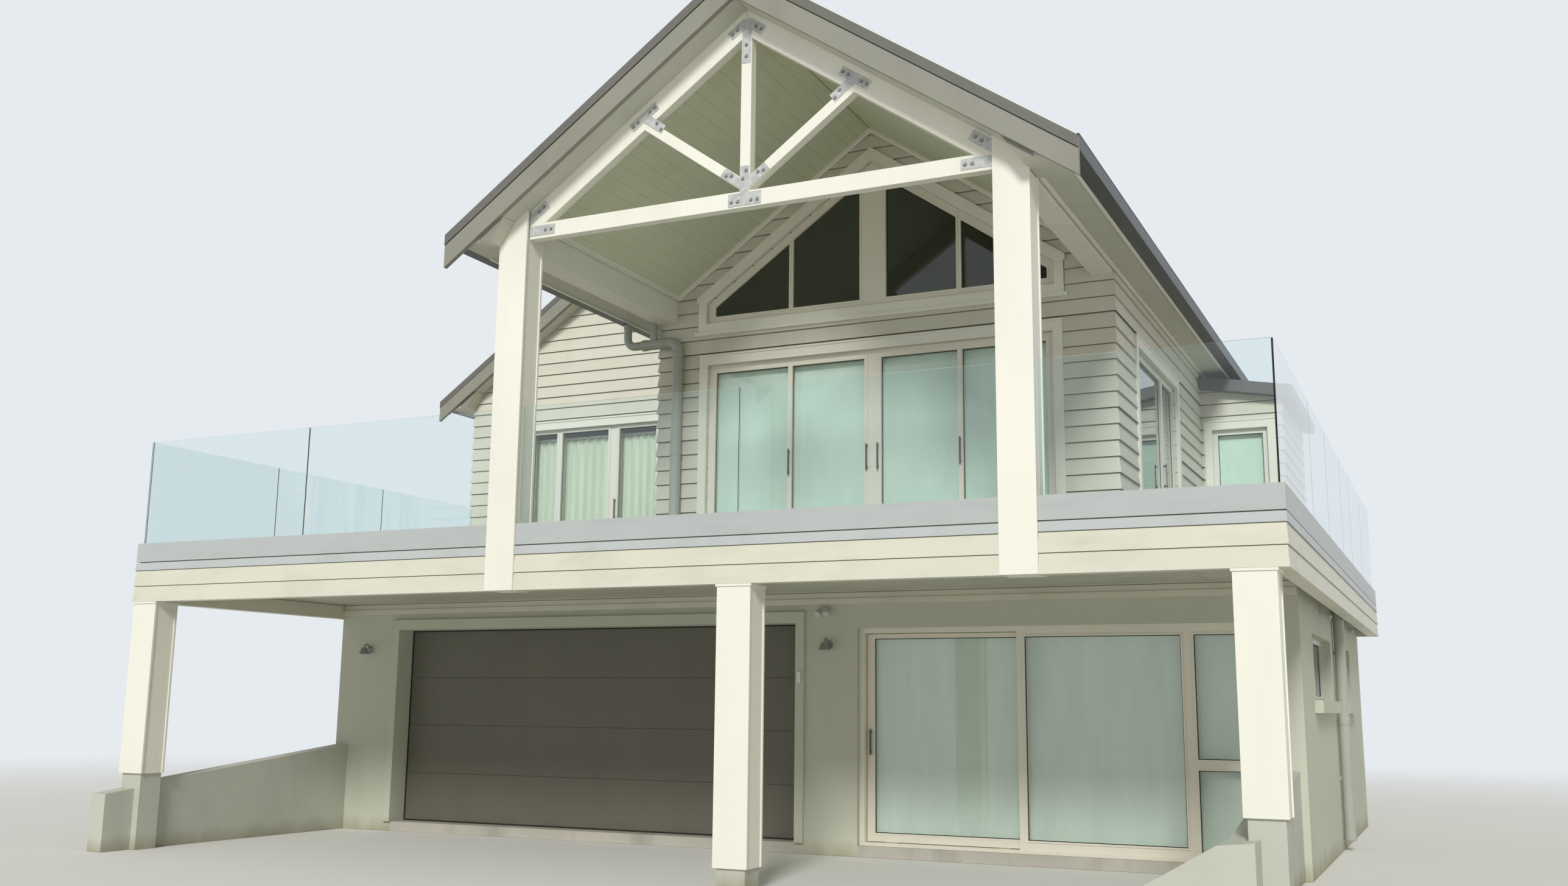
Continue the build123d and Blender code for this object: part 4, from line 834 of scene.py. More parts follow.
beamLow, beamHigh = planBox("box_beam")
liningMesh = bmesh.new()
for x0, y0, y1 in (
    (deckLow.x + lining["rimInset"], deckLow.y + lining["rimInset"], beamLow.y),
    (lowerHigh.x + 2, beamHigh.y, houseBack - lining["rimInset"]),
):
    layLining(liningMesh, x0, deckHigh.x, y0, y1, beamHigh.z, **lining)
makePiece("deckLining", liningMesh, soffitPaint, slot="white_paint")
print("deck edge done")


# Boxed posts: wide boards front and back, the side boards set in between them

boxedPosts = {"board": 24, "inset": 9, "soft": 2}


def addBoxedPost(mesh, outline, core, y0, y1):
    board, soft = boxedPosts["board"], boxedPosts["soft"]
    addShape(mesh, frontAt(0), outline, -y0 - board, -y0, soft)
    addShape(mesh, frontAt(0), core, -y1 + board, -y0 - board)
    addShape(mesh, frontAt(0), outline, -y1, -y1 + board, soft)


def tallPostOutline(side, inset):
    # up to the eave's soffit outside the wall line, and on to the roof inside it
    inner = side * (postInner + inset)
    outer = side * (postOuter - inset)
    wall = side * (gableHalf - inset)
    return [
        (inner, postLowPlan.z), (outer, postLowPlan.z), (outer, eaveSoffit - inset),
        (wall, eaveSoffit - inset), (wall, eaveWall - inset), (inner, mainUnder(inner) - inset),
    ]


postMesh = bmesh.new()
for side in (-1, 1):
    outline, core = (tallPostOutline(side, inset) for inset in (0, boxedPosts["inset"]))
    addBoxedPost(postMesh, outline, core, postLowPlan.y, postHighPlan.y)
makePiece("tallPosts", postMesh, postPaint, slot="white_paint", stands=("tall_posts",))

lowPosts = {
    "width": 292, "depth": 270, "trim": 10, "trimHigh": 20, "feet": (695, 162, 682),
    "middleLeft": -184, "rightInset": 72,
}
lowPostRight = deckHigh.x - lowPosts["rightInset"] - lowPosts["width"]
lowPostMesh = bmesh.new()
for left, foot in zip((deckLow.x, lowPosts["middleLeft"], lowPostRight), lowPosts["feet"]):
    right = left + lowPosts["width"]
    top = deckLow.z - lowPosts["trimHigh"]
    inset = boxedPosts["inset"]
    core = rectangle(left + inset, right - inset, foot, top)
    addBoxedPost(lowPostMesh, rectangle(left, right, foot, top), core, 0, lowPosts["depth"])
    trim = lowPosts["trim"]
    start = left if left == deckLow.x else left - trim
    addBar(
        lowPostMesh, start, right + trim, -trim, lowPosts["depth"] + trim, top, deckLow.z,
        boxedPosts["soft"],
    )
makePiece("lowerPosts", lowPostMesh, postPaint, slot="white_paint", stands=("lower_posts",))


# Truss in the porch, each member with eased edges

truss = {
    "soft": 3, "joint": 1, "rafterDepth": 195, "strutLean": 36, "strutLift": 75, "strutWidth": 90,
}
chordLow, chordHigh = planBox("truss_chord")
rafterDrop = truss["rafterDepth"] * rake
rafterLow = ceilingRidge - rafterDrop
trussAt = frontAt(0)
trussOut = (-chordHigh.y, -chordLow.y)


def rafterFoot(x):
    return rafterLow - slope * abs(x)


rafterMesh = bmesh.new()
for side in (-1, 1):
    inner, outer = side * truss["joint"], side * postInner
    addShape(
        rafterMesh, trussAt,
        [(inner, rafterFoot(inner)), (outer, rafterFoot(outer)), (outer, mainUnder(outer)),
         (inner, mainUnder(inner))],
        *trussOut, truss["soft"],
    )
makePiece("trussRafters", rafterMesh, postPaint, slot="white_paint", stands=("truss_rafters",))
chordMeet = (rafterLow - chordHigh.z) / slope
chordMesh = bmesh.new()
addShape(
    chordMesh, trussAt,
    [(-postInner, chordLow.z), (postInner, chordLow.z), (postInner, rafterFoot(postInner)),
     (chordMeet, chordHigh.z), (-chordMeet, chordHigh.z), (-postInner, rafterFoot(postInner))],
    *trussOut, truss["soft"],
)
makePiece("trussChord", chordMesh, postPaint, slot="white_paint", stands=("truss_chord",))
kingHalf = planBox("truss_king_post")[1].x
kingMesh = bmesh.new()
addShape(
    kingMesh, trussAt,
    [(-kingHalf, chordHigh.z), (kingHalf, chordHigh.z), (kingHalf, rafterFoot(kingHalf)),
     (0, rafterLow), (-kingHalf, rafterFoot(kingHalf))],
    *trussOut, truss["soft"],
)
makePiece("trussKingPost", kingMesh, postPaint, slot="white_paint", stands=("truss_king_post",))
strutLean = math.radians(truss["strutLean"])
strutFoot = chordHigh.z + truss["strutLift"]
strutHalf = truss["strutWidth"] / 2 / math.cos(strutLean)
strutSlope = math.tan(strutLean)


def strutReach(offset):
    # how far out a line beside a strut's middle meets the rafter
    return (rafterLow - strutFoot - offset + strutSlope * kingHalf) / (strutSlope + slope)


strutMesh = bmesh.new()
for side in (-1, 1):
    reaches = [strutReach(offset) for offset in (-strutHalf, strutHalf)]
    tops = [(side * reach, rafterFoot(reach)) for reach in reaches]
    feet = [(side * kingHalf, strutFoot + offset) for offset in (-strutHalf, strutHalf)]
    addShape(strutMesh, trussAt, [feet[0], *tops, feet[1]], *trussOut, truss["soft"])
makePiece("trussStruts", strutMesh, postPaint, slot="white_paint", stands=("truss_struts",))

# galvanised plates in flat straps, each lap a little behind the last, with hexagon bolts on washers
plates = {
    "width": 80, "heelWidth": 88, "inset": 15, "lap": 0.4, "centreHalf": 150, "centreRise": 140,
    "strap": 250, "strapDrop": 34,
    "teeOffset": 45, "teeHalf": 150, "teeStrap": 240, "heelChord": 260, "heelRafter": 215,
    "heelLift": 32, "apexDrop": 250, "apexStrap": 190,
}
bolts = {"across": 22, "high": 11, "washer": 17, "washerThick": 2}
plateLow, plateHigh = planBox("truss_plates")
chordMiddle = (chordLow.z + chordHigh.z) / 2
strutWay = Vector((math.cos(strutLean), math.sin(strutLean)))
rafterWay = Vector((math.cos(pitch), -math.sin(pitch)))
rafterMiddle = rafterLow + rafterDrop / 2
teeX = strutReach(0) + plates["teeOffset"]


def addStrap(mesh, lap, start, end, width, side=1, upright=False):
    # one flat strap between two points of the right half, turned over for the left half
    start, end = Vector(start), Vector(end)
    way = (end - start).normalized()
    across = Vector((-way.y, way.x)) * width / 2
    if upright:
        lift = Vector((0, math.copysign(width / 2 / abs(way.x), across.y)))
        corners = [start + lift, start - lift, end - across, end + across]
    else:
        corners = [start + across, start - across, end - across, end + across]
    addShape(
        mesh, trussAt, [(side * p.x, p.y) for p in corners], -plateHigh.y, -plateLow.y - lap, 1,
    )


strapFoot = Vector((0, strutFoot - plates["strapDrop"]))
tee = Vector((teeX, rafterMiddle - slope * teeX))
apex = Vector((0, rafterMiddle))
heelChord = Vector((postInner - 1, chordMiddle))
heelRafter = Vector((postInner - 1, rafterMiddle - slope * postInner + plates["heelLift"]))
teeHalf = rafterWay * plates["teeHalf"]
width, heelWidth = plates["width"], plates["heelWidth"]
chordWidth = chordHigh.z - chordLow.z - 2 * plates["inset"]
straps = [
    ((-plates["centreHalf"], chordMiddle), (plates["centreHalf"], chordMiddle), chordWidth),
    ((0, chordLow.z + plates["inset"] + 1), (0, strutFoot + plates["centreRise"]), width),
]
for side in (-1, 1):
    straps += [
        (strapFoot, strapFoot + strutWay * plates["strap"], width, side),
        (tee - teeHalf, tee + teeHalf, width, side),
        (tee, tee - strutWay * plates["teeStrap"], width, side),
        (heelChord, heelChord - Vector((plates["heelChord"], 0)), heelWidth, side),
        (heelRafter, heelRafter - rafterWay * plates["heelRafter"], heelWidth, side, True),
        (apex, apex + rafterWay * plates["apexStrap"], width, side),
    ]
straps.append(((0, rafterLow - plates["apexDrop"]), (0, rafterMiddle), width))
plateMesh = bmesh.new()
for index, strap in enumerate(straps):
    addStrap(plateMesh, plates["lap"] * (index % 4), *strap)
makePiece("trussPlates", plateMesh, plateZinc, slot="galvanised", stands=("truss_plates",))


def boltHead(mesh, x, z, face, across, high, washer, washerThick):
    turn = Matrix.Rotation(math.radians(random.uniform(0, 60)), 4, "Z")
    lying = Matrix.Rotation(math.radians(90), 4, "X")
    bmesh.ops.create_cone(
        mesh, cap_ends=True, segments=18, radius1=washer, radius2=washer * 0.96, depth=washerThick,
        matrix=Matrix.Translation((x, face - washerThick / 2, z)) @ lying,
    )
    bmesh.ops.create_cone(
        mesh, cap_ends=True, segments=6, radius1=across * 0.577, radius2=across * 0.52, depth=high,
        matrix=Matrix.Translation((x, face - washerThick - high / 2, z)) @ lying @ turn,
    )


# along each strap, with a step to either side where the bolts are staggered
boltRows = {
    "chord": (-118, -62, 62, 118), "chordDrop": 18, "king": ((-16, 30), (14, 98)),
    "apexKing": (90, 190), "strut": ((150, 16), (212, -14)), "tee": ((160, 16), (212, -14)),
    "teeRafter": (-125, -70, 70, 125), "heelChord": (165, 225), "heelRafter": (110, 172),
    "apex": (105, 160),
}
boltPlaces = [(x, chordMiddle - boltRows["chordDrop"]) for x in boltRows["chord"]]
boltPlaces += [(x, strutFoot + rise) for x, rise in boltRows["king"]]
boltPlaces += [(0, rafterLow - drop) for drop in boltRows["apexKing"]]
halfPlaces = [strapFoot + strutWay * along + Vector((0, step)) for along, step in boltRows["strut"]]
halfPlaces += [tee - strutWay * along + Vector((0, step)) for along, step in boltRows["tee"]]
halfPlaces += [tee + rafterWay * along for along in boltRows["teeRafter"]]
halfPlaces += [heelChord - Vector((along, 0)) for along in boltRows["heelChord"]]
halfPlaces += [heelRafter - rafterWay * along for along in boltRows["heelRafter"]]
halfPlaces += [apex + rafterWay * along for along in boltRows["apex"]]
for side in (-1, 1):
    boltPlaces += [(side * p.x, p.y) for p in halfPlaces]
boltMesh = bmesh.new()
for x, z in boltPlaces:
    boltHead(boltMesh, x, z, plateLow.y, **bolts)
makePiece("trussBolts", boltMesh, boltZinc, slot="galvanised")
print("truss done,", len(boltPlaces), "bolts")


# thin dark strips between the barge boards and their flashings: a painted shadow under each
# flashing's edge
flashingShadow = {"high": 7, "proud": 2, "flashingHigh": 91}
bargeLow, bargeHigh = planBox("barge_boards")
bargeTop = planBox("barge_flashings")[1].z - flashingShadow["flashingHigh"]
shadowStripMesh = bmesh.new()
for side in (-1, 1):
    outline = [(side, bargeTop - slope), (side * bargeHigh.x, bargeTop - slope * bargeHigh.x)]
    outline += [(x, z - flashingShadow["high"] * rake) for x, z in reversed(outline)]
    addShape(shadowStripMesh, frontAt(bargeLow.y), outline, -1, flashingShadow["proud"])
makePiece("flashingShadowStrips", shadowStripMesh, sealRubber, slot="fittings")


# Roofing: long sheets with ribs, under the ridge caps

roofing = {"ribSpacing": 190, "ribWidth": 34, "ribHeight": 24, "ribShoulder": 6, "skin": 3}
roofGaps = {"ridge": 60, "eave": 30, "end": 5, "wing": 55}


def roofSlope(
    name, ridge, edgeX, top, y0, y1, ribSpacing, ribWidth, ribHeight, ribShoulder, skin,
):
    # top gives the slope's height over x; the ribs run down the slope
    mesh = bmesh.new()
    profile = []
    y = y0
    while y < y1 - 1:
        flatEnd = min(y + ribSpacing - ribWidth, y1)
        profile += [(y, 0), (flatEnd, 0)]
        if flatEnd >= y1 - ribWidth:
            break
        ribEnd = flatEnd + ribWidth
        profile += [(flatEnd + ribShoulder, ribHeight), (ribEnd - ribShoulder, ribHeight)]
        y = ribEnd
    if profile[-1][0] < y1:
        profile.append((y1, 0))
    ends = []
    unders = []
    for x in (ridge, edgeX):
        ends.append([mesh.verts.new((x, py, top(x) + skin + ph)) for py, ph in profile])
        unders.append([mesh.verts.new((x, py, top(x))) for py in (y0, y1)])
    for i in range(len(profile) - 1):
        mesh.faces.new((ends[0][i], ends[0][i + 1], ends[1][i + 1], ends[1][i]))
    mesh.faces.new((unders[0][0], unders[1][0], unders[1][1], unders[0][1]))
    mesh.faces.new([unders[1][0]] + ends[1] + [unders[1][1]])
    mesh.faces.new([unders[0][0]] + ends[0] + [unders[0][1]])
    mesh.faces.new((unders[0][0], ends[0][0], ends[1][0], unders[1][0]))
    mesh.faces.new((unders[0][1], unders[1][1], ends[1][-1], ends[0][-1]))
    return makePiece(name, mesh, roofSheet, slot="roofing")


def mainOver(x):
    return mainUnder(x) + roofDepth


def wingOver(x):
    return wingUnder(x) + roofDepth


roofFront, roofBack = roofLow.y + roofGaps["end"], roofHigh.y - roofGaps["end"]
wingRoofFront = wingRoofLow.y
wingSheetFront = wingRoofFront + roofGaps["end"]
wingClear = wingRoofFront - roofGaps["wing"]
ridgeGap = roofGaps["ridge"]
eaveEdge = roofHigh.x + roofGaps["eave"]
wingEaveEdge = wingRoofLow.x - roofGaps["eave"]
for name, ridge, edgeX, top, y0, y1 in (
    ("roofingRight", ridgeGap, eaveEdge, mainOver, roofFront, roofBack),
    ("roofingLeftFront", -ridgeGap, -eaveEdge, mainOver, roofFront, wingClear),
    ("roofingLeftMiddle", -ridgeGap, valleyX, mainOver, wingClear, wingSheetFront),
    ("roofingLeftBack", -ridgeGap, valleyX, mainOver, wingSheetFront, roofBack),
    ("roofingWingRight", wingRidge + ridgeGap, valleyX, wingOver, wingSheetFront, roofBack),
    ("roofingWingLeft", wingRidge - ridgeGap, wingEaveEdge, wingOver, wingSheetFront, roofBack),
):
    roofSlope(name, ridge, edgeX, top, y0, y1, **roofing)

# trims under the boxed eaves: one at the wall, one at the outer edge
eaveTrims = {"wallWide": 32, "edgeWide": 26, "thick": 10}
trimMesh = bmesh.new()
for wallX, outward, level, outerX, y0, y1 in (
    (gableHalf, 1, eaveSoffit, roofHigh.x, postHighPlan.y, houseBack),
    (-gableHalf, -1, eaveSoffit, -roofHigh.x, postHighPlan.y, wingRoofFront),
    (deckLow.x, -1, wingEaveSoffit, wingRoofLow.x, wingFront, houseBack),
):
    innerX = wallX + outward * weatherboards["butt"]
    for x0, x1 in (
        (innerX, innerX + outward * eaveTrims["wallWide"]),
        (outerX, outerX - outward * eaveTrims["edgeWide"]),
    ):
        addBar(trimMesh, min(x0, x1), max(x0, x1), y0, y1, level - eaveTrims["thick"], level, 2)
makePiece("eaveTrims", trimMesh, postPaint, slot="white_paint")

# rolled beads along the gutters' outer edges, with clips under them
gutterLow, gutterHigh = planBox("eave_gutters")
beads = {
    "wide": 16, "high": 16, "lift": 3, "soft": 4, "wingGap": 52, "clipFirst": 300,
    "clipSpacing": 900, "clipWide": 22, "clipLong": 118, "clipDrop": 6, "clipThick": 3,
}
beadMesh = bmesh.new()
for outer, inward, y0, y1, top in (
    (gutterHigh.x, -1, gutterLow.y, gutterHigh.y, gutterHigh.z),
    (-gutterHigh.x, 1, gutterLow.y, wingRoofFront - beads["wingGap"], gutterHigh.z),
    (gutterLow.x, 1, wingRoofFront, gutterHigh.y, wingEaveSoffit + gutterHigh.z - eaveSoffit),
):
    inner = outer + inward * beads["wide"]
    beadTop = top + beads["lift"]
    addBar(
        beadMesh, min(outer, inner), max(outer, inner), y0, y1, beadTop - beads["high"], beadTop,
        beads["soft"],
    )
    across = outer + inward * beads["clipLong"]
    clipLow = top - beads["clipDrop"]
    y = y0 + beads["clipFirst"]
    while y < y1:
        addBar(
            beadMesh, min(outer, across), max(outer, across), y, y + beads["clipWide"],
            clipLow, clipLow + beads["clipThick"],
        )
        y += beads["clipSpacing"]
makePiece("gutterBeads", beadMesh, gutterPaint, slot="pipe_paint")
print("roofing done")


# Porch ceiling: grooved boards that run back from the truss, with a cornice

ceilingBoards = {"cover": 135, "thick": 9, "groove": 5}
ceilingEnds = {"front": 1, "rear": 20, "ridge": 10}
eaveBeamWidth = 195
beamInner = gableHalf - eaveBeamWidth
downSlope = [Vector((side * math.cos(pitch), 0, -math.sin(pitch))) for side in (-1, 1)]
offCeiling = [Vector((-side * math.sin(pitch), 0, -math.cos(pitch))) for side in (-1, 1)]


def porchCeiling(name, along, normal, cover, thick, groove):
    mesh = bmesh.new()
    start = Vector((0, 0, ceilingRidge))
    reach = beamInner * rake
    position = ceilingEnds["ridge"]
    while position < reach:
        stop = min(position + cover, reach)
        section = [
            (position, 0), (position, thick - groove), (position + groove, thick),
            (stop - groove, thick), (stop, thick - groove), (stop, 0),
        ]
        places = [start + along * s + normal * t for s, t in section]
        front = [p + Vector((0, chordHigh.y + ceilingEnds["front"], 0)) for p in places]
        rear = [p + Vector((0, gableFront - ceilingEnds["rear"], 0)) for p in places]
        addPrism(mesh, front, rear)
        position += cover
    return makePiece(name, mesh, ceilingPaint, slot="white_paint")


for name, along, normal in zip(("Left", "Right"), downSlope, offCeiling):
    porchCeiling("porchCeiling" + name, along, normal, **ceilingBoards)


# plain lining under the verge, in front of the truss
vergeMesh = bmesh.new()
for side in (-1, 1):
    outline = [(side * 2, mainUnder(2)), (side * gableHalf, mainUnder(gableHalf))]
    outline += [(x, z - ceilingBoards["thick"] * rake) for x, z in reversed(outline)]
    addShape(vergeMesh, frontAt(0), outline, -chordLow.y, -roofFront)
makePiece("vergeLining", vergeMesh, vergePaint, slot="white_paint")

# where the verge meets the boxed eave: a sloping filler with a thin plate over its end; the plate
# is in the darker barge paint as painted shade, so its lit face reads as dark as the shaded soffit
vergeFoot = {"rise": 200, "run": 145, "plate": 3, "plateOut": 95, "plateDrop": 70}
footMesh = bmesh.new()
shadePlateMesh = bmesh.new()
for foldX, foldZ, inward, y0, y1 in (
    (-gableHalf, eaveSoffit, 1, roofLow.y, postLowPlan.y + 2),
    (gableHalf, eaveSoffit, -1, roofLow.y, postLowPlan.y + 2),
    (deckLow.x, wingEaveSoffit, 1, wingRoofLow.y, wingFront),
):
    inner = foldX + inward * vergeFoot["run"]
    outer = foldX - inward * vergeFoot["plateOut"]
    top = foldZ + vergeFoot["rise"]
    addShape(footMesh, frontAt(0), [(foldX, foldZ), (inner, top), (foldX, top)], -y1, -y0)
    addShape(
        shadePlateMesh, frontAt(y0),
        [(outer, foldZ), (foldX, foldZ), (inner, top), (outer, top - vergeFoot["plateDrop"])],
        0, vergeFoot["plate"],
    )
makePiece("vergeFillers", footMesh, vergePaint, slot="white_paint")
makePiece("vergeEndShadePlates", shadePlateMesh, bargePaint, slot="barge_paint")


def addCornice(mesh, start, end, out, across, width, depth):
    # a scotia from start to end, width along across and depth along out
    shares = ((0, 0), (1, 0), (1, 0.3), (0.55, 0.5), (0.3, 1), (0, 1))
    section = [start + across * width * wide + out * depth * deep for wide, deep in shares]
    addPrism(mesh, section, [p + end - start for p in section])


cornice = {"width": 42, "depth": 34}
corniceMesh = bmesh.new()
gableRear = gableFront - ceilingEnds["rear"]
for side, along, out in zip((-1, 1), downSlope, offCeiling):
    x = side * beamInner
    start = Vector((x, postHighPlan.y + 2, mainUnder(x) - 8))
    end = Vector((x, gableRear - 2, mainUnder(x) - 8))
    addCornice(corniceMesh, start, end, out, -along, **cornice)
    low, high = (
        Vector((side * reach, gableRear, mainUnder(reach) - ceilingBoards["thick"]))
        for reach in (beamInner - 5, 4)
    )
    addCornice(corniceMesh, low, high, out, Vector((0, -1, 0)), **cornice)
makePiece("porchCornice", corniceMesh, postPaint, slot="white_paint")
print("porch ceiling done")


# Deck planks

planks = {
    "width": 140, "gap": 5, "thick": 32, "lengths": (2400, 3000, 3600), "shortest": 400,
    "edge": 122, "first": 6,
}
deckMesh = bmesh.new()
plankLeft, plankRight = deckLow.x + planks["edge"], deckHigh.x - planks["edge"]
rowY = planks["edge"] + planks["first"]
while rowY < houseBack - 10:
    rowEnd = min(rowY + planks["width"], houseBack - 2)
    solids = []
    if rowEnd > gableFront:
        solids.append((-gableHalf - 1, gableHalf + 1))
    if rowEnd > wingFront:
        solids.append((deckLow.x - 1, -gableHalf + 1))
    if rowEnd > bayFront:
        solids.append((gableHalf - 1, bayOuter + 1))
    if rowY < postHighPlan.y + 5:
        solids += [(-postOuter - 2, 2 - postInner), (postInner - 2, postOuter + 2)]
    for x0, x1 in cutSpans([(plankLeft, plankRight)], solids):
        x = x0
        while x < x1:
            cutX = min(x + random.choice(planks["lengths"]), x1)
            if x1 - cutX < planks["shortest"]:
                cutX = x1
            addBar(deckMesh, x + 1, cutX - 1, rowY, rowEnd, deckTop - planks["thick"], deckTop)
            x = cutX
    rowY += planks["width"] + planks["gap"]
makePiece("deckPlanks", deckMesh, deckTimber, slot="decking", stands=("deck_boards",))
print("deck planks done")


# Glazing: panes, sash frames with their seals, and pulls

setBack = 30
lowerSetBack = {"side": 90, "back": 50}
paneOut = (-36, -24)
sashes = {"width": 34, "slim": 18, "proud": 5, "step": 4}
seals = {"width": 7, "proud": 4}
rakedBar = 80
wingBar = 45
slimBar = 60
# the edges of the bars between two lights
sideMullion = (870, 918)
centreMullion = 88
rakedCentre = 140
wingMullions = (391, 475, 1161, 1322)
sliderMullion = (5062, 5142)
rearMullion = 30
lowerMiddle = 25
lowerRows = (1519, 2025)
lowerSideSpans = ((3900, 5710), (6850, 8140))
lowerBackCentres = (-4260, 1040)
lowerBackHalf = 705


def lightsBetween(edges, z0, z1):
    return [rectangle(u0, u1, z0, z1) for u0, u1 in zip(edges[0::2], edges[1::2])]


doorEdge = upperDoorHalf - rakedBar
doorLights = lightsBetween(
    [-doorEdge, -sideMullion[1], -sideMullion[0], -centreMullion,
     centreMullion, sideMullion[0], sideMullion[1], doorEdge],
    deckTop + rakedBar, doorHead - rakedBar,
)
wingLights = lightsBetween(
    [wingDoorSpan[0] + wingBar, *[wingDoorSpan[0] + u for u in wingMullions],
     wingDoorSpan[1] - wingBar],
    deckTop + wingBar, doorHead - wingBar,
)
sliderLights = lightsBetween(
    [sliderSpan[0] + slimBar, *sliderMullion, sliderSpan[1] - slimBar],
    deckTop + slimBar, doorHead - slimBar,
)


def rakedTop(u):
    return rakedHigh.z - rakedBar * rake - slope * abs(u)


rakedHalf = rakedHigh.x - rakedBar
rakedSill = rakedLow.z + rakedBar
rakedLights = []
for u0, u1 in (
    (-rakedHalf, -sideMullion[1]), (-sideMullion[0], -rakedCentre),
    (rakedCentre, sideMullion[0]), (sideMullion[1], rakedHalf),
):
    rakedLights.append([(u0, rakedSill), (u1, rakedSill), (u1, rakedTop(u1)), (u0, rakedTop(u0))])

gableJoinery = frontAt(gableFront + setBack)
wingJoinery = frontAt(wingFront + setBack)
sliderJoinery = rightAt(gableHalf - setBack)


def twoLights(u0, u1, half, z0, z1):
    middle = (u0 + u1) / 2
    return lightsBetween([u0, middle - half, middle + half, u1], z0, z1)


lowerSides = []
for y0, y1 in lowerSideSpans:
    lowerSides += twoLights(y0 + wingBar, y1 - wingBar, lowerMiddle, *lowerRows)
lowerBacks = []
for middle in lowerBackCentres:
    lowerBacks += twoLights(middle - lowerBackHalf, middle + lowerBackHalf, lowerMiddle, *lowerRows)
rearRows = (rearSill + slimBar, doorHead - slimBar)
rearLights = []
for u0, u1 in rearSpans:
    rearLights += twoLights(u0 + slimBar, u1 - slimBar, rearMullion, *rearRows)
wingSideLights = twoLights(
    wingSideSpan[0] + slimBar, wingSideSpan[1] - slimBar, rearMullion, *rearRows,
)
bayWindowLights = [rectangle(
    bayWindow[0] + slimBar, bayWindow[1] - slimBar, bayWindow[2] + slimBar, bayWindow[3] - slimBar,
)]
rearBayJoinery = frontAt(bayFront + setBack)
fixedWindows = (
    (rightAt(lowerHigh.x - lowerSetBack["side"]), lowerSides),
    (backAt(houseBack - lowerSetBack["back"]), lowerBacks),
    (backAt(houseBack - setBack), rearLights), (leftAt(deckLow.x + setBack), wingSideLights),
)
sliders = ((wingJoinery, wingLights), (sliderJoinery, sliderLights))
gableDoors = ((gableJoinery, doorLights),)
gableWindow = ((gableJoinery, rakedLights),)
rearBayWindow = ((rearBayJoinery, bayWindowLights),)
for name, joinery, glass, stands in (
    ("doorPanes", gableDoors + sliders, doorGlass, "upper_glass"),
    ("rakedPanes", gableWindow, darkGlass, "upper_glass"),
    ("windowPanes", fixedWindows, darkGlass, "window_glass"),
    ("rearBayPane", rearBayWindow, doorGlass, "window_glass"),
):
    paneMesh = bmesh.new()
    for at, lights in joinery:
        for light in lights:
            addShape(paneMesh, at, light, *paneOut)
    makePiece(name, paneMesh, glass, slot="glass", stands=(stands,))
sealMesh = bmesh.new()
for name, joinery, paint in (
    ("doorSashes", gableDoors + gableWindow, joineryCream),
    ("windowSashes", fixedWindows + sliders + rearBayWindow, windowPaint),
):
    sashMesh = bmesh.new()
    for at, lights in joinery:
        wide = lights in (doorLights, wingLights, sliderLights)
        width = sashes["width"] if wide else sashes["slim"]
        for index, light in enumerate(lights):
            # the middle leaves stand a little prouder than the outer ones
            proud = sashes["proud"] + (sashes["step"] if index in (1, 2) else 0)
            addRing(sashMesh, at, grown(light, width), light, 0, proud)
            seal = grown(light, -seals["width"])
            addRing(sealMesh, at, light, seal, paneOut[1], paneOut[1] + seals["proud"])
    makePiece(name, sashMesh, paint, slot="joinery")
makePiece("paneSeals", sealMesh, sealRubber, slot="fittings")

# the glazed bay: beads round its fixed panes, and the sliding leaf's own bead, seal and pull
bayFrameLow, bayFrameHigh = planBox("bay_frame")
leafLow = planBox("sliding_leaf")[0]
leafPaneLow, leafPaneHigh = planBox("sliding_leaf_glass")
bayPaneLow, bayPaneHigh = planBox("bay_glass")
bayBars = {"post": (2836, 2948), "rail": (865, 956), "depth": 15}
bayBeads = {"width": 16, "proud": 8, "leafProud": 3, "sealOut": -14}
fixedAt = frontAt(bayFrameLow.y + bayBars["depth"])
leafAt = frontAt(leafLow.y)
leafBody = "door_leaf"
sideLight = (bayBars["post"][1], bayPaneHigh.x)
bayLights = [
    rectangle(bayPaneLow.x, bayBars["post"][0], leafPaneLow.z, bayPaneHigh.z),
    rectangle(*sideLight, bayPaneLow.z, bayBars["rail"][0]),
    rectangle(*sideLight, bayBars["rail"][1], bayPaneHigh.z),
]
leafLights = [rectangle(leafPaneLow.x, leafPaneHigh.x, leafPaneLow.z, leafPaneHigh.z)]
for beadName, sealName, at, lights, proud, body in (
    ("bayBeads", "baySeals", fixedAt, bayLights, bayBeads["proud"], mainBody),
    ("leafBead", "leafSeal", leafAt, leafLights, bayBeads["leafProud"], leafBody),
):
    beadMesh = bmesh.new()
    edgeMesh = bmesh.new()
    for light in lights:
        sealOut = bayBeads["sealOut"]
        addRing(beadMesh, at, grown(light, bayBeads["width"]), light, 0, proud)
        addRing(
            edgeMesh, at, light, grown(light, -seals["width"]), sealOut, sealOut + seals["proud"],
        )
    makePiece(beadName, beadMesh, joineryCream, body=body, slot="joinery")
    makePiece(sealName, edgeMesh, sealRubber, body=body, slot="fittings")


pullBar = {"half": 9, "thick": 8, "standHalf": 6, "standRise": 9, "standInset": 26, "sunk": 1}


def addPull(mesh, at, u, z, length, reach):
    # a flat bar on two stand-offs
    half, thick = pullBar["half"], pullBar["thick"]
    outline = rectangle(u - half, u + half, z - length / 2, z + length / 2)
    addShape(mesh, at, outline, reach - thick, reach, 2)
    half, rise = pullBar["standHalf"], pullBar["standRise"]
    for end in (-1, 1):
        middle = z + end * (length / 2 - pullBar["standInset"])
        outline = rectangle(u - half, u + half, middle - rise, middle + rise)
        addShape(mesh, at, outline, 0, reach - thick + pullBar["sunk"], 1)


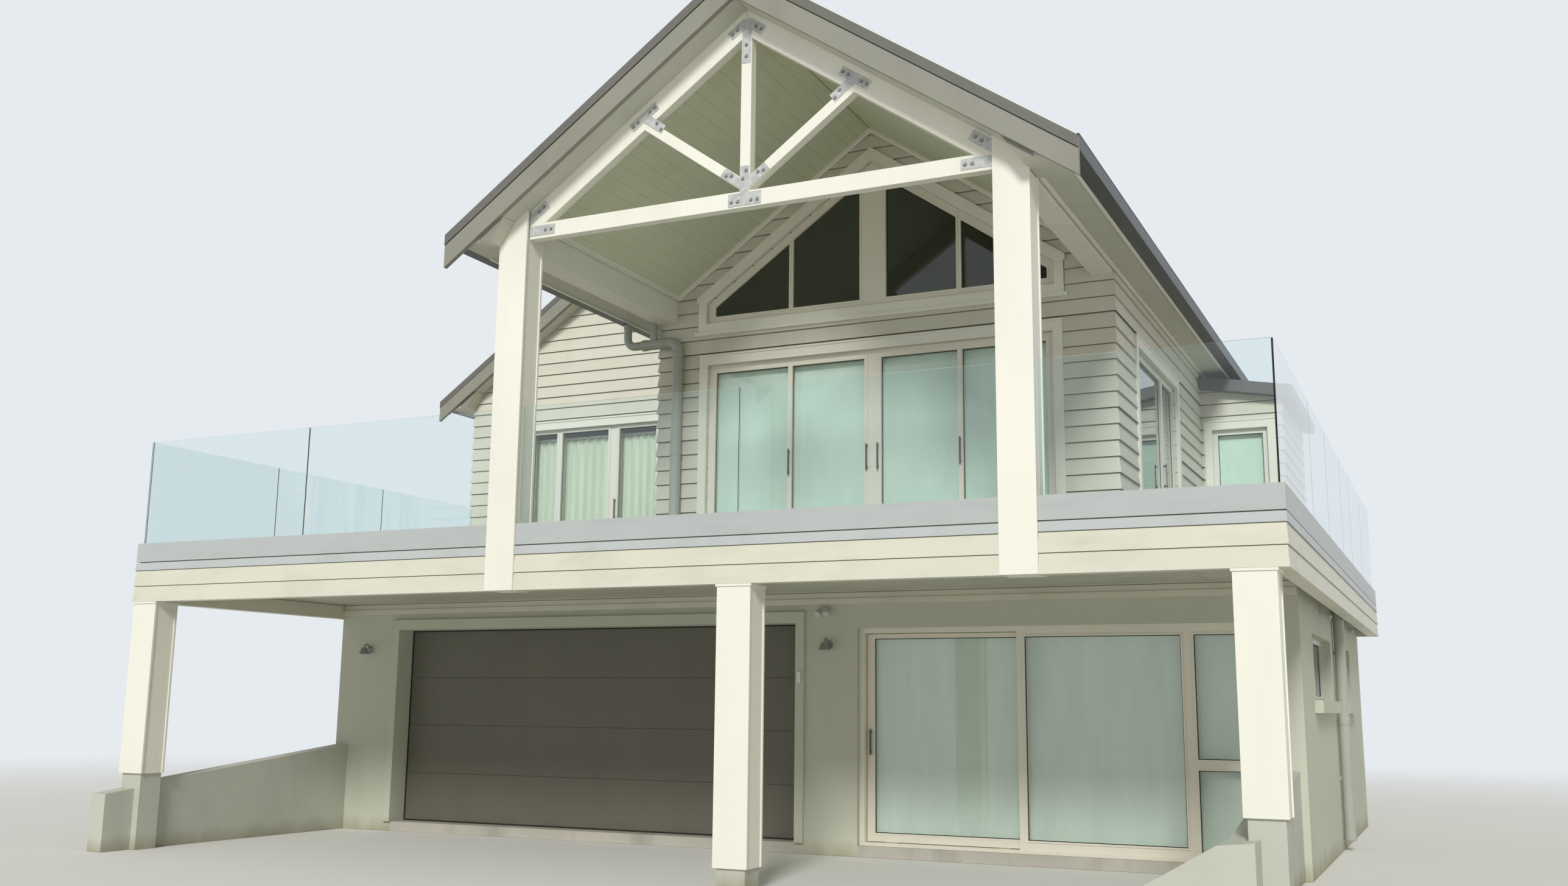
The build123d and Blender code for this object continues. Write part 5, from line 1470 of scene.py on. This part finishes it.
pulls = {"length": 260, "reach": 38, "height": 1010, "leaves": (-894, -58, 58, 894), "wing": 1290}
leafPull = {"length": 240, "reach": 30, "height": 950}
pullMesh = bmesh.new()
pullPlaces = [(gableJoinery, u) for u in pulls["leaves"]]
pullPlaces += [
    (wingJoinery, wingDoorSpan[0] + pulls["wing"]), (sliderJoinery, sum(sliderMullion) / 2),
]
for at, u in pullPlaces:
    addPull(pullMesh, at, u, deckTop + pulls["height"], pulls["length"], pulls["reach"])
makePiece("doorPulls", pullMesh, handleMetal, slot="fittings")
leafPullMesh = bmesh.new()
addPull(
    leafPullMesh, leafAt, (leafLow.x + leafPaneLow.x) / 2, slabTop + leafPull["height"],
    leafPull["length"], leafPull["reach"],
)
makePiece("leafPull", leafPullMesh, handleMetal, body=leafBody, slot="fittings")
print("glazing done")


# Soft goods: roller blinds behind the upper doors and the bay, gathered curtains in the wing

blinds = {"rollerRadius": 18, "headGap": 4, "barHigh": 22, "barThick": 9, "wave": 1.5}


def rollerBlinds(label, spans, head, foot, y, rollerRadius, headGap, barHigh, barThick, wave):
    # plain sheets that hang straight from rollers under the head, each with a bar in its hem
    rollerMesh = bmesh.new()
    top = head - rollerRadius - headGap
    bracketFoot = head - 2 * rollerRadius - 6
    for x0, x1 in spans:
        start, end = ((x, y + rollerRadius, top) for x in (x0, x1))
        addRound(rollerMesh, start, end, rollerRadius, rollerRadius)
        for x in (x0 - 4, x1 + 1):
            addBar(rollerMesh, x, x + 3, y - 2, y + 2 * rollerRadius, bracketFoot, head)
    rollers = makePiece(label + "Rollers", rollerMesh, keyPlastic, slot="fittings")
    for index, (x0, x1) in enumerate(spans):
        mesh = bmesh.new()
        columns, rows = 12, 16
        phase = random.uniform(0, 6)
        grid = []
        for j in range(rows + 1):
            z = top + (foot + barHigh - top) * j / rows
            row = []
            for i in range(columns + 1):
                t = i / columns
                bow = wave * math.sin(3 * math.pi * t + phase) * math.sin(math.pi * j / rows)
                row.append(mesh.verts.new((x0 + (x1 - x0) * t, y - 0.5 + bow, z)))
            grid.append(row)
        joinRows(mesh, grid, closed=False)
        blind = makePiece(label + "Blind" + str(index + 1), mesh, blindCloth, smooth=True)
        barMesh = bmesh.new()
        addBar(barMesh, x0, x1, y - barThick / 2, y + barThick / 2, foot, foot + barHigh, 2)
        bar = makePiece(label + "HemBar" + str(index + 1), barMesh, keyPlastic, slot="fittings")


doorBlindSpans = ((-1800, -900), (-888, -12), (12, 888), (900, 1800))
bayBlindSpans = ((bayFrameLow.x + 8, 1385), (1397, 2886), (2898, bayFrameHigh.x - 8))
rearBlindSpans = ((bayWindow[0] + 12, bayWindow[1] - 12),)
for label, spans, head, foot, y, radius in (
    ("door", doorBlindSpans, doorHead, deckTop + 12, gableFront + 106, blinds["rollerRadius"]),
    ("bay", bayBlindSpans, bayFrameHigh.z, slabTop + 14, bayFrameHigh.y + 4, 16),
    ("rear", rearBlindSpans, bayWindow[3] - 2, bayWindow[2] + 12, bayFront + 102, 14),
):
    rollerBlinds(label, spans, head, foot, y, **dict(blinds, rollerRadius=radius))

curtains = {
    "pitch": 114, "depth": 28, "top": 4716, "foot": deckTop + 30, "y": wingFront + 190,
}


def hangCurtain(name, x0, x1, rail, pitch, depth, top, foot, y):
    # rounded folds, tighter at the heading and each a little different
    mesh = bmesh.new()
    columns = int((x1 - x0) / pitch * 14)
    rows = 30
    phase = random.uniform(0, 6)
    grid = []
    for j in range(rows + 1):
        drop = j / rows
        z = top + (foot - top) * drop
        open0 = 0.5 + 0.5 * min(1, drop * 9)
        row = []
        for i in range(columns + 1):
            x = x0 + (x1 - x0) * i / columns
            turn = 2 * math.pi * x / pitch + 0.9 * math.sin(x / 270 + phase)
            swing = math.sin(turn) + 0.25 * math.sin(2 * turn + phase)
            sway = 0.82 + 0.18 * math.sin(x / 150 + 2.2 * drop + phase)
            lift = 6 * max(0, 1 - drop * 18) * math.cos(turn)
            row.append(mesh.verts.new((x, y + depth * open0 * swing * sway, z + lift)))
        grid.append(row)
    joinRows(mesh, grid, closed=False)
    area = sum(face.calc_area() for face in mesh.faces) / 1e6
    long = (top - foot) / 1000
    curtain = makePiece(name, mesh, curtainCloth, smooth=True)
    print(name, "is cut to", round(area / long, 3), "by", round(long, 3), "m")


rail = {"half": 14, "foot": 6, "top": 34, "bracket": 16, "bracketFoot": 12, "bracketTop": 28}
railMesh = bmesh.new()
railEnds = (wingDoorSpan[0] - 90, wingDoorSpan[1] + 70)
railY, railZ = curtains["y"], curtains["top"]
addBar(
    railMesh, *railEnds, railY - rail["half"], railY + rail["half"], railZ + rail["foot"],
    railZ + rail["top"], 3,
)
for x in (railEnds[0] + 30, railEnds[1] - 46):
    addBar(
        railMesh, x, x + rail["bracket"], wingFront + 150, railY, railZ + rail["bracketFoot"],
        railZ + rail["bracketTop"],
    )
curtainRail = makePiece("curtainRail", railMesh, keyPlastic, slot="fittings")
for name, x0, x1 in (
    ("curtainLeft", wingDoorSpan[0] - 60, wingDoorSpan[0] + 1215),
    ("curtainRight", wingDoorSpan[0] + 1240, wingDoorSpan[1] + 40),
):
    hangCurtain(name, x0, x1, curtainRail, **curtains)
print("soft goods done")


# Garage door: four smooth leaves with a fine joint, and black seals round the opening

garage = {
    "leaves": 4, "joint": 3, "soft": 1.5, "seal": 14, "sealProud": 9, "sealFoot": 16,
    "overlap": 10, "headOverlap": 60,
}
doorLow, doorHigh = planBox("garage_door")
openLeft = garageLow.x + facingWidth + garage["overlap"]
openRight = garageHigh.x - facingWidth - garage["overlap"]
openHead = doorHigh.z - garage["headOverlap"]
doorMesh = bmesh.new()
garageLeafHigh = (openHead - slabTop) / garage["leaves"]
for index in range(garage["leaves"]):
    z0 = slabTop + index * garageLeafHigh + garage["joint"] / 2
    z1 = slabTop + (index + 1) * garageLeafHigh - garage["joint"] / 2
    if index == 0:
        z0 = slabTop + garage["sealFoot"]
    if index == garage["leaves"] - 1:
        z1 = doorHigh.z
    addBar(doorMesh, doorLow.x, doorHigh.x, doorLow.y, doorHigh.y, z0, z1, garage["soft"])
    addBar(doorMesh, doorLow.x + 2, doorHigh.x - 2, doorLow.y + 12, doorHigh.y - 1, z1 - 4, z1 + 9)
makePiece("garageLeaves", doorMesh, doorPaint, slot="garage_door", stands=("garage_door",))
seal, sealY = garage["seal"], doorLow.y - garage["sealProud"]
garageSealMesh = bmesh.new()
for x0, x1, y0, y1, z0, z1 in (
    (openLeft, openRight, doorLow.y + 2, doorHigh.y - 4, slabTop, slabTop + garage["sealFoot"]),
    (openLeft, openLeft + seal, sealY, doorLow.y, slabTop, openHead),
    (openRight - seal, openRight, sealY, doorLow.y, slabTop, openHead),
    (openLeft, openRight, sealY, doorLow.y, openHead - seal, openHead),
):
    addBar(garageSealMesh, x0, x1, y0, y1, z0, z1, 2)
makePiece("garageSeals", garageSealMesh, sealRubber, slot="fittings")


# Fittings on the lower walls

lamps = {
    "height": 1964, "plate": 42, "plateThick": 14, "reach": 105, "rise": 45, "neck": 8,
    "lift": 18, "bends": 16,
    "shade": (
        (26, 70), (31, 68), (50, 26), (62, 4), (62, 0), (58, 0), (57, 5), (46, 26), (28, 62),
        (22, 64),
    ),
}
lampXs = (deckLow.x + 435, openRight + 344)


def addLamp(mesh, x, height, plate, plateThick, reach, rise, neck, lift, bends, shade):
    # round plate, bent neck and a bell shade that points down
    lampY = wallFace - reach
    plateY = wallFace - plateThick
    addRound(mesh, (x, wallFace, height), (x, plateY, height), plate, plate - 4, 32)
    points = []
    for i in range(bends + 1):
        t = i / bends
        out = (reach - plateThick) * (1 - math.cos(math.pi * t)) / 2
        points.append((x, plateY - out, height + rise * math.sin(math.pi * t) + lift * t))
    addTube(mesh, points, neck)
    addLathe(mesh, shade, (x, lampY, height + lift - shade[0][1]))
    addRound(mesh, (x, lampY, height - 30), (x, lampY, height + 10), 17, 15, 20)


lampMesh = bmesh.new()
for x in lampXs:
    addLamp(lampMesh, x, **lamps)
makePiece("wallLamps", lampMesh, lampGrey, slot="fittings", stands=("wall_fittings",))


# heads and necks: (height over the foot of the base, reach out from the wall) and radii
spots = {
    "baseHalf": 45, "baseHigh": 40, "baseThick": 35, "headRear": (12, 38), "headFront": (-26, 92),
    "rear": 22, "front": 30, "rim": 5, "neckFoot": (14, 20), "neckShare": 0.6, "neck": 9,
}


def addSpot(
    mesh, at, u, z, heads, baseHalf, baseHigh, baseThick, headRear, headFront, rear, front, rim,
    neckFoot, neckShare, neck,
):
    # a small base with one or two round heads that look down and out
    addShape(mesh, at, rectangle(u - baseHalf, u + baseHalf, z, z + baseHigh), 0, baseThick, 6)
    for offset in heads:
        start, end = (at(u + offset, z + rise, out) for rise, out in (headRear, headFront))
        addRound(mesh, start, end, rear, front, 24)
        addRound(mesh, end, end + (end - start).normalized() * rim, front, front, 24)
        foot = at(u + offset * neckShare, z + neckFoot[0], neckFoot[1])
        addRound(mesh, foot, start, neck, neck, 12)


lightLevel = planBox("floor_structure")[0].z
sensorMesh = bmesh.new()
addSpot(sensorMesh, frontAt(wallFace), openRight + 304, lightLevel - 194, (-45, 45), **spots)
for y0, y1 in lowerSideSpans:
    addSpot(sensorMesh, rightAt(lowerHigh.x), (y0 + y1) / 2, lightLevel - 190, (0,), **spots)
makePiece("sensorLights", sensorMesh, sensorGrey, slot="fittings", stands=("wall_fittings",))

keypad = {
    "width": 36, "high": 110, "thick": 20, "height": 1654, "rows": 4, "rowStep": 12,
    "columns": (-10, 0, 10), "topRow": 8, "keyHalf": 3, "keyHigh": 7, "keyProud": 1.5,
}
keypadAt = frontAt(garageLow.y + 10)
keypadU = openRight + facingWidth / 2
halfWide, halfHigh = keypad["width"] / 2, keypad["high"] / 2
keypadMesh = bmesh.new()
addShape(
    keypadMesh, keypadAt,
    rectangle(keypadU - halfWide, keypadU + halfWide, keypad["height"] - halfHigh,
              keypad["height"] + halfHigh),
    0, keypad["thick"], 4,
)
for row in range(keypad["rows"]):
    for column in keypad["columns"]:
        z = keypad["height"] - keypad["topRow"] - row * keypad["rowStep"]
        u = keypadU + column
        key = rectangle(u - keypad["keyHalf"], u + keypad["keyHalf"], z, z + keypad["keyHigh"])
        addShape(
            keypadMesh, keypadAt, key, keypad["thick"] - 1, keypad["thick"] + keypad["keyProud"], 1,
        )
makePiece("keypad", keypadMesh, keyPlastic, slot="fittings", stands=("wall_fittings",))

# sockets and collars on the downpipes
sockets = {
    "radius": 59, "high": 62, "lipRadius": 56, "lipHigh": 6, "outletRadius": 46, "run": 245,
    "upper": (deckTop + 3, 3900, 4930), "lower": (slabTop + 3, 1250, 2405),
    "across": ((-2555, -2500), (-2330, -2275)),
}
upperPipe = (-gableHalf + 252, gableFront - 90)
lowerPipe = (lowerHigh.x + 67, wallFace + 3140)
radius, lipRadius, outletRadius = (
    sockets[key] for key in ("radius", "lipRadius", "outletRadius")
)
socketMesh = bmesh.new()
for (x, y), levels in ((upperPipe, sockets["upper"]), (lowerPipe, sockets["lower"])):
    for z in levels:
        top = z + sockets["high"]
        addRound(socketMesh, (x, y, z), (x, y, top), radius, radius, 36)
        addRound(socketMesh, (x, y, top), (x, y, top + sockets["lipHigh"]), radius, lipRadius, 36)
y, z = upperPipe[1], eaveSoffit - sockets["run"]
for x0, x1 in sockets["across"]:
    addRound(socketMesh, (x0, y, z), (x1, y, z), radius, radius, 36)
for x in (planBox("downpipes")[0].x + 42, -gableHalf - 44):
    low, high = (x, y, eaveSoffit - 48), (x, y, eaveSoffit - 2)
    addRound(socketMesh, low, high, outletRadius, outletRadius, 32)
makePiece("pipeSockets", socketMesh, pipePaint, slot="pipe_paint")
print("fittings done")


# Camera: in front of the glazed bay, turned to the left

camera = {
    "focalPixels": 2382.474, "imageWidth": 2576, "yaw": -0.440908617, "tilt": 0.180789165,
    "roll": 0.00966145842, "place": (5141.6, -10077.58, 1357.82), "sensorWidth": 36,
    "clipEnd": 500,
}
cameraData = bpy.data.cameras.new("viewCamera")
cameraData.sensor_width = camera["sensorWidth"]
cameraData.lens = camera["focalPixels"] / camera["imageWidth"] * camera["sensorWidth"]
cameraData.clip_end = camera["clipEnd"]
viewCamera = bpy.data.objects.new("viewCamera", cameraData)
bpy.context.scene.collection.objects.link(viewCamera)
yaw, tilt, roll = camera["yaw"], camera["tilt"], camera["roll"]
forward = Vector((math.sin(yaw) * math.cos(tilt), math.cos(yaw) * math.cos(tilt), math.sin(tilt)))
levelRight = Vector((math.cos(yaw), -math.sin(yaw), 0))
levelUp = levelRight.cross(forward)
right = levelRight * math.cos(roll) + levelUp * math.sin(roll)
up = levelUp * math.cos(roll) - levelRight * math.sin(roll)
turn = Matrix((right, up, -forward)).transposed().to_4x4()
viewCamera.matrix_world = Matrix.Translation(toFrame @ Vector(camera["place"])) @ turn
bpy.context.scene.camera = viewCamera

# Studio: a pale floor that fades into a pale surround, soft key light and fill

studio = {
    "floorTone": (222, 221, 215), "floorHalf": 150, "floorDrop": 0.002, "floorRough": 0.9,
    "floorSpecular": 0.1, "backdrop": (230, 235, 240), "surround": 0.46,
    "keyStrength": 2.3, "keyAngle": 14, "keyAim": (-0.28, 1.0, -0.64), "fadeFrom": 9, "fadeTo": 30,
}
floorMesh = bmesh.new()
bmesh.ops.create_grid(floorMesh, x_segments=1, y_segments=1, size=studio["floorHalf"])
floorData = bpy.data.meshes.new("studioFloor")
floorMesh.to_mesh(floorData)
floorMesh.free()
studioFloor = bpy.data.objects.new("studioFloor", floorData)
studioFloor.location = (0, 0, -studio["floorDrop"])
bpy.context.scene.collection.objects.link(studioFloor)
floorMaterial, floorTree, floorShader, floorOutput = startMaterial("studioFloor")
floorShader.inputs["Base Color"].default_value = linear(*studio["floorTone"])
floorShader.inputs["Roughness"].default_value = studio["floorRough"]
floorShader.inputs["Specular IOR Level"].default_value = studio["floorSpecular"]
floorPlace = floorTree.nodes.new("ShaderNodeTexCoord")
distance = floorTree.nodes.new("ShaderNodeVectorMath")
distance.operation = "LENGTH"
floorTree.links.new(floorPlace.outputs["Object"], distance.inputs[0])
fade = floorTree.nodes.new("ShaderNodeMapRange")
fade.interpolation_type = "SMOOTHSTEP"
fade.inputs["From Min"].default_value = studio["fadeFrom"]
fade.inputs["From Max"].default_value = studio["fadeTo"]
floorTree.links.new(distance.outputs["Value"], fade.inputs["Value"])
glow = floorTree.nodes.new("ShaderNodeEmission")
glow.inputs["Color"].default_value = linear(*studio["backdrop"])
floorMix = floorTree.nodes.new("ShaderNodeMixShader")
floorTree.links.new(fade.outputs[0], floorMix.inputs[0])
floorTree.links.new(floorShader.outputs[0], floorMix.inputs[1])
floorTree.links.new(glow.outputs[0], floorMix.inputs[2])
floorTree.links.new(floorMix.outputs[0], floorOutput.inputs[0])
floorData.materials.append(floorMaterial)

world = bpy.data.worlds.new("studioWorld")
bpy.context.scene.world = world
world.use_nodes = True
worldTree = world.node_tree
worldTree.nodes.clear()
worldOutput = worldTree.nodes.new("ShaderNodeOutputWorld")
fill = worldTree.nodes.new("ShaderNodeBackground")
fill.inputs["Color"].default_value = (1, 1, 1, 1)
fill.inputs["Strength"].default_value = studio["surround"]
backdrop = worldTree.nodes.new("ShaderNodeBackground")
backdrop.inputs["Color"].default_value = linear(*studio["backdrop"])
rays = worldTree.nodes.new("ShaderNodeLightPath").outputs
seen = mathNode(worldTree, "MAXIMUM", rays["Is Camera Ray"], rays["Is Transmission Ray"])
seen = mathNode(worldTree, "MAXIMUM", seen, rays["Is Glossy Ray"])
worldMix = worldTree.nodes.new("ShaderNodeMixShader")
worldTree.links.new(seen, worldMix.inputs[0])
worldTree.links.new(fill.outputs[0], worldMix.inputs[1])
worldTree.links.new(backdrop.outputs[0], worldMix.inputs[2])
worldTree.links.new(worldMix.outputs[0], worldOutput.inputs[0])

keyData = bpy.data.lights.new("keyLight", "SUN")
keyData.energy = studio["keyStrength"]
keyData.angle = math.radians(studio["keyAngle"])
keyLight = bpy.data.objects.new("keyLight", keyData)
bpy.context.scene.collection.objects.link(keyLight)
keyLight.rotation_mode = "QUATERNION"
keyLight.rotation_quaternion = Vector(studio["keyAim"]).to_track_quat("-Z", "Y")

bpy.context.scene.view_settings.view_transform = "Standard"
print("studio done")
